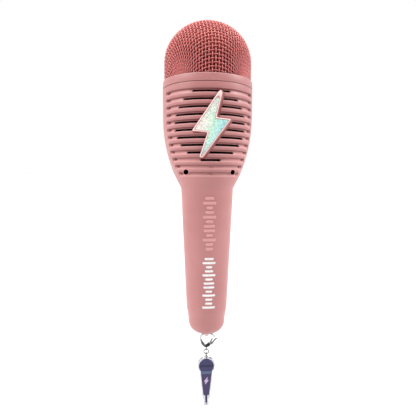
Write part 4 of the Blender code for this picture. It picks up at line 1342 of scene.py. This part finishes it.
def clasp():
    """Lobster clasp: round hook with a domed tip, its body, the sprung lever and the pin."""
    hook = [(-0.9, -81.5), (-2.5, -80.3), (-3.9, -78.0), (-4.7, -75.2), (-4.5, -72.8), (-2.8, -71.5),
            (0.0, -71.3), (3.6, -71.5), (5.9, -72.5), (6.8, -74.3)]
    path = curve_through(hook, 10)
    distance = np.linalg.norm(path - path[-1], axis=1)
    thick = 0.68 + 0.48 * smooth_step((-75.5 - path[:, 2]) / 4)
    radii = thick * np.sqrt(1 - np.clip(1 - distance / 0.62, 0, 0.97) ** 2)
    made = tube("clasp_hoop", [path], [radii], hoop_look(), 24, (0, 1, 0))
    place(made, "clasp", "bright_metal", "clasp_hook")
    cheek, _ = dense([(-1.6, -82.2), (-1.6, -80.8), (0.6, -80.8), (0.95, -79.6), (1.9, -79.0),
                      (3.0, -79.9), (2.9, -81.2), (1.4, -82.2)], 0.2, 4)
    spine, _ = dense([(-1.6, -82.2), (-1.6, -80.8), (0.3, -80.8), (0.5, -82.2)], 0.2, 2)
    for name, outline, near, far, bevel in (("clasp_cheek_front", cheek, -1.3, -0.72, 0.2),
                                            ("clasp_cheek_rear", cheek, 0.72, 1.3, 0.2),
                                            ("clasp_spine", spine, -0.9, 0.9, 0.1)):
        place(slab(name, outline, near, far, black_plate, bevel), "clasp", "bright_metal")
    pin = middle("clasp_pin")
    profile = [(0, -1.45), (0.3, -1.45), (0.42, -1.38), (0.42, -1.3), (0.34, -1.3), (0.34, 1.3),
               (0.42, 1.3), (0.42, 1.38), (0.3, 1.45), (0, 1.45)]
    made = turned("hinge_pin", profile, dark_steel, 32, (pin.x, 0, pin.z), "Y")
    place(made, "clasp", "bright_metal", "clasp_pin")
    lever = [(1.2, -80.9), (1.3, -79.5), (2.6, -79.0), (4.5, -75.4), (5.4, -75.5), (4.2, -78.5),
             (4.9, -78.6), (6.7, -76.2), (8.9, -75.0), (9.2, -75.6), (7.4, -76.9), (5.6, -79.6),
             (4.4, -80.6), (2.6, -80.9)]
    outline, _ = dense(lever, 0.15, 3)
    made = slab("spring_lever", outline, -0.55, 0.55, dark_plate, 0.16)
    place(made, "lever", "bright_metal", "clasp_lever")


def rings():
    """Swivel eye with its neck, the jump ring and the link."""
    def hoop(name, centre, radius, upright):
        turns = full_turn(72)
        a, b = radius * np.cos(turns), radius * np.sin(turns)
        flat = 0 * a
        path = np.stack([a, flat, b] if upright else [flat, a, b], 1) + [0, 0, centre]
        return tube(name, [path], [0.4], dark_plate, 16, (0, 1, 0) if upright else (1, 0, 0), True)

    eye = hoop("swivel_loop", -84.0, 1.3, False)
    neck = [(0, -83.1), (0.75, -83.0), (0.95, -82.7), (0.9, -82.45), (0.5, -82.4), (0.5, -80.75),
            (0.8, -80.7), (0.75, -80.35), (0.5, -80.15), (0, -80.1)]
    cut(eye, turned("neck", neck, black_plate, 40), "UNION")
    place(eye, "swivel", "bright_metal", "swivel_eye")
    place(hoop("jump_hoop", -86.5, 2.0, True), "ring", "bright_metal", "jump_ring")
    place(hoop("link_hoop", -90.1, 2.4, False), "link", "bright_metal", "link_ring")


# ================================================================ charm

CHARM_HEAD_Z = -98.6
CHARM_HEAD = 7.4
CHARM_FACE = low("charm_plate").y


def head_arc(radius, start_deg, end_deg):
    """Points round the charm's head, on its right side."""
    turns = np.radians(np.linspace(start_deg, end_deg, 19))
    return [(radius * math.cos(t), CHARM_HEAD_Z + radius * math.sin(t)) for t in turns]


def both_sides(right):
    """A right-hand outline from the top down, closed by its mirror image."""
    return right + [(-x, z) for x, z in reversed(right)]


def charm_plate():
    """Clear acrylic plate with polished, rounded edges and a hole in its tab."""
    right = [(1.0, -90.7), (2.1, -91.6), (2.3, -92.7)] + head_arc(CHARM_HEAD, 60, -40)
    right += [(5.3, -106.6), (3.6, -125.2), (2.4, -127.6), (2.2, -132.6), (1.6, -133.2)]
    outline, _ = dense(both_sides(right), 0.35, 3)
    steps = ((0.14, -1.5), (0.04, -1.45), (0.0, -1.34), (0.0, 1.34), (0.04, 1.45), (0.14, 1.5))
    layers = [standing(outline + inward(outline) * inset, y) for inset, y in steps]
    made = loft("charm_body", layers, acrylic_look())
    cut(made, pin_cutter(0, -92.5, 1.1, -5.0, 5.0))
    place(made, "charm", "clear_acrylic", "charm_plate")


def charm_print():
    """A generic little microphone in layers of ink on the plate's face."""
    navy = ink("charm_navy", (0.010, 0.008, 0.060), (0.006, 0.005, 0.038))
    dome = ink("charm_dome", (0.036, 0.028, 0.112), (0.022, 0.018, 0.080), 2.5)
    collar = ink("charm_collar", (0.085, 0.115, 0.230), (0.066, 0.085, 0.180))
    grip = ink("charm_grip", (0.040, 0.025, 0.095), (0.028, 0.019, 0.072), 3.0)
    bolt = ink("charm_bolt", (0.56, 0.42, 0.64), (0.50, 0.37, 0.58))
    near, far = CHARM_FACE - 0.17, CHARM_FACE - 0.05
    inner = CHARM_HEAD - 1.1

    def at_level(above):
        """Angle at which the printed dome reaches a level above the head's middle."""
        return math.degrees(math.asin(above / inner))

    layers = (
        ("dome", head_arc(inner, 85, at_level(0.9)), dome, 0.0),
        ("band", head_arc(inner, at_level(0.85), at_level(-1.2)), navy, 0.03),
        ("cheek", head_arc(inner, at_level(-1.25), -32) + [(4.75, -103.2)], dome, 0.0),
        ("collar", [(4.7, -103.25), (4.55, -105.6)], collar, 0.02),
        ("grip", [(4.45, -105.65), (2.4, -124.4)], grip, 0.0),
        ("stem", [(0.95, -124.45), (0.8, -131.2)], navy, 0.0),
    )
    for name, right, look, lift in layers:
        made = slab(f"print_{name}", both_sides(right), near - lift, far, look, 0.02)
        place(made, "charm", "charm_ink", "charm_print")
    width, height, bolt_z = 0.1472, 0.128, -111.6
    fattened = inset_corners(BADGE_CORNERS, -0.5)
    zigzag = [(x * width, bolt_z + z * height) for x, z in fattened]
    made = slab("print_bolt", zigzag, near - 0.06, near + 0.02, bolt, 0.02)
    place(made, "charm", "charm_ink")


# ================================================================ CAD nodes that stay

def dress_frame():
    """Materials for the CAD nodes that keep their own shape."""
    groups = (
        (black_plastic, ("capsule_carrier", "battery_cradle", "audio_chip", "usb_tongue",
                         "power_switch", "mode_switch", "volume_down_switch", "volume_up_switch")),
        (black_rubber, ("capsule_holder", "speaker_surround", "speaker_gasket")),
        (black_paper, ("speaker_cone", "dust_cap")),
        (steel, ("mic_capsule", "usb_socket")),
        (dark_steel, ("speaker_basket", "speaker_magnet", "grille_screw_left", "grille_screw_right",
                      "case_screw_left", "case_screw_right")),
        (copper_look(), ("voice_coil",)),
        (board_look(), ("main_board",)),
        (cell_look(), ("battery_cell",)),
        (lens_look(), ("status_light",)),
    )
    for look, names in groups:
        for name in names:
            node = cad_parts[name]
            node.data.materials.clear()
            node.data.materials.append(look)


camera()
surroundings()
floor()
lights()
front_casing()
rear_casing()
seam_tongues()
screw_holes()
tail()
head_ring()
head_mesh()
foam()
badge()
level_bars()
speaker_cloth()
dust_screen()
control_pad()
keys()
port()
clasp()
rings()
charm_plate()
charm_print()
dress_frame()
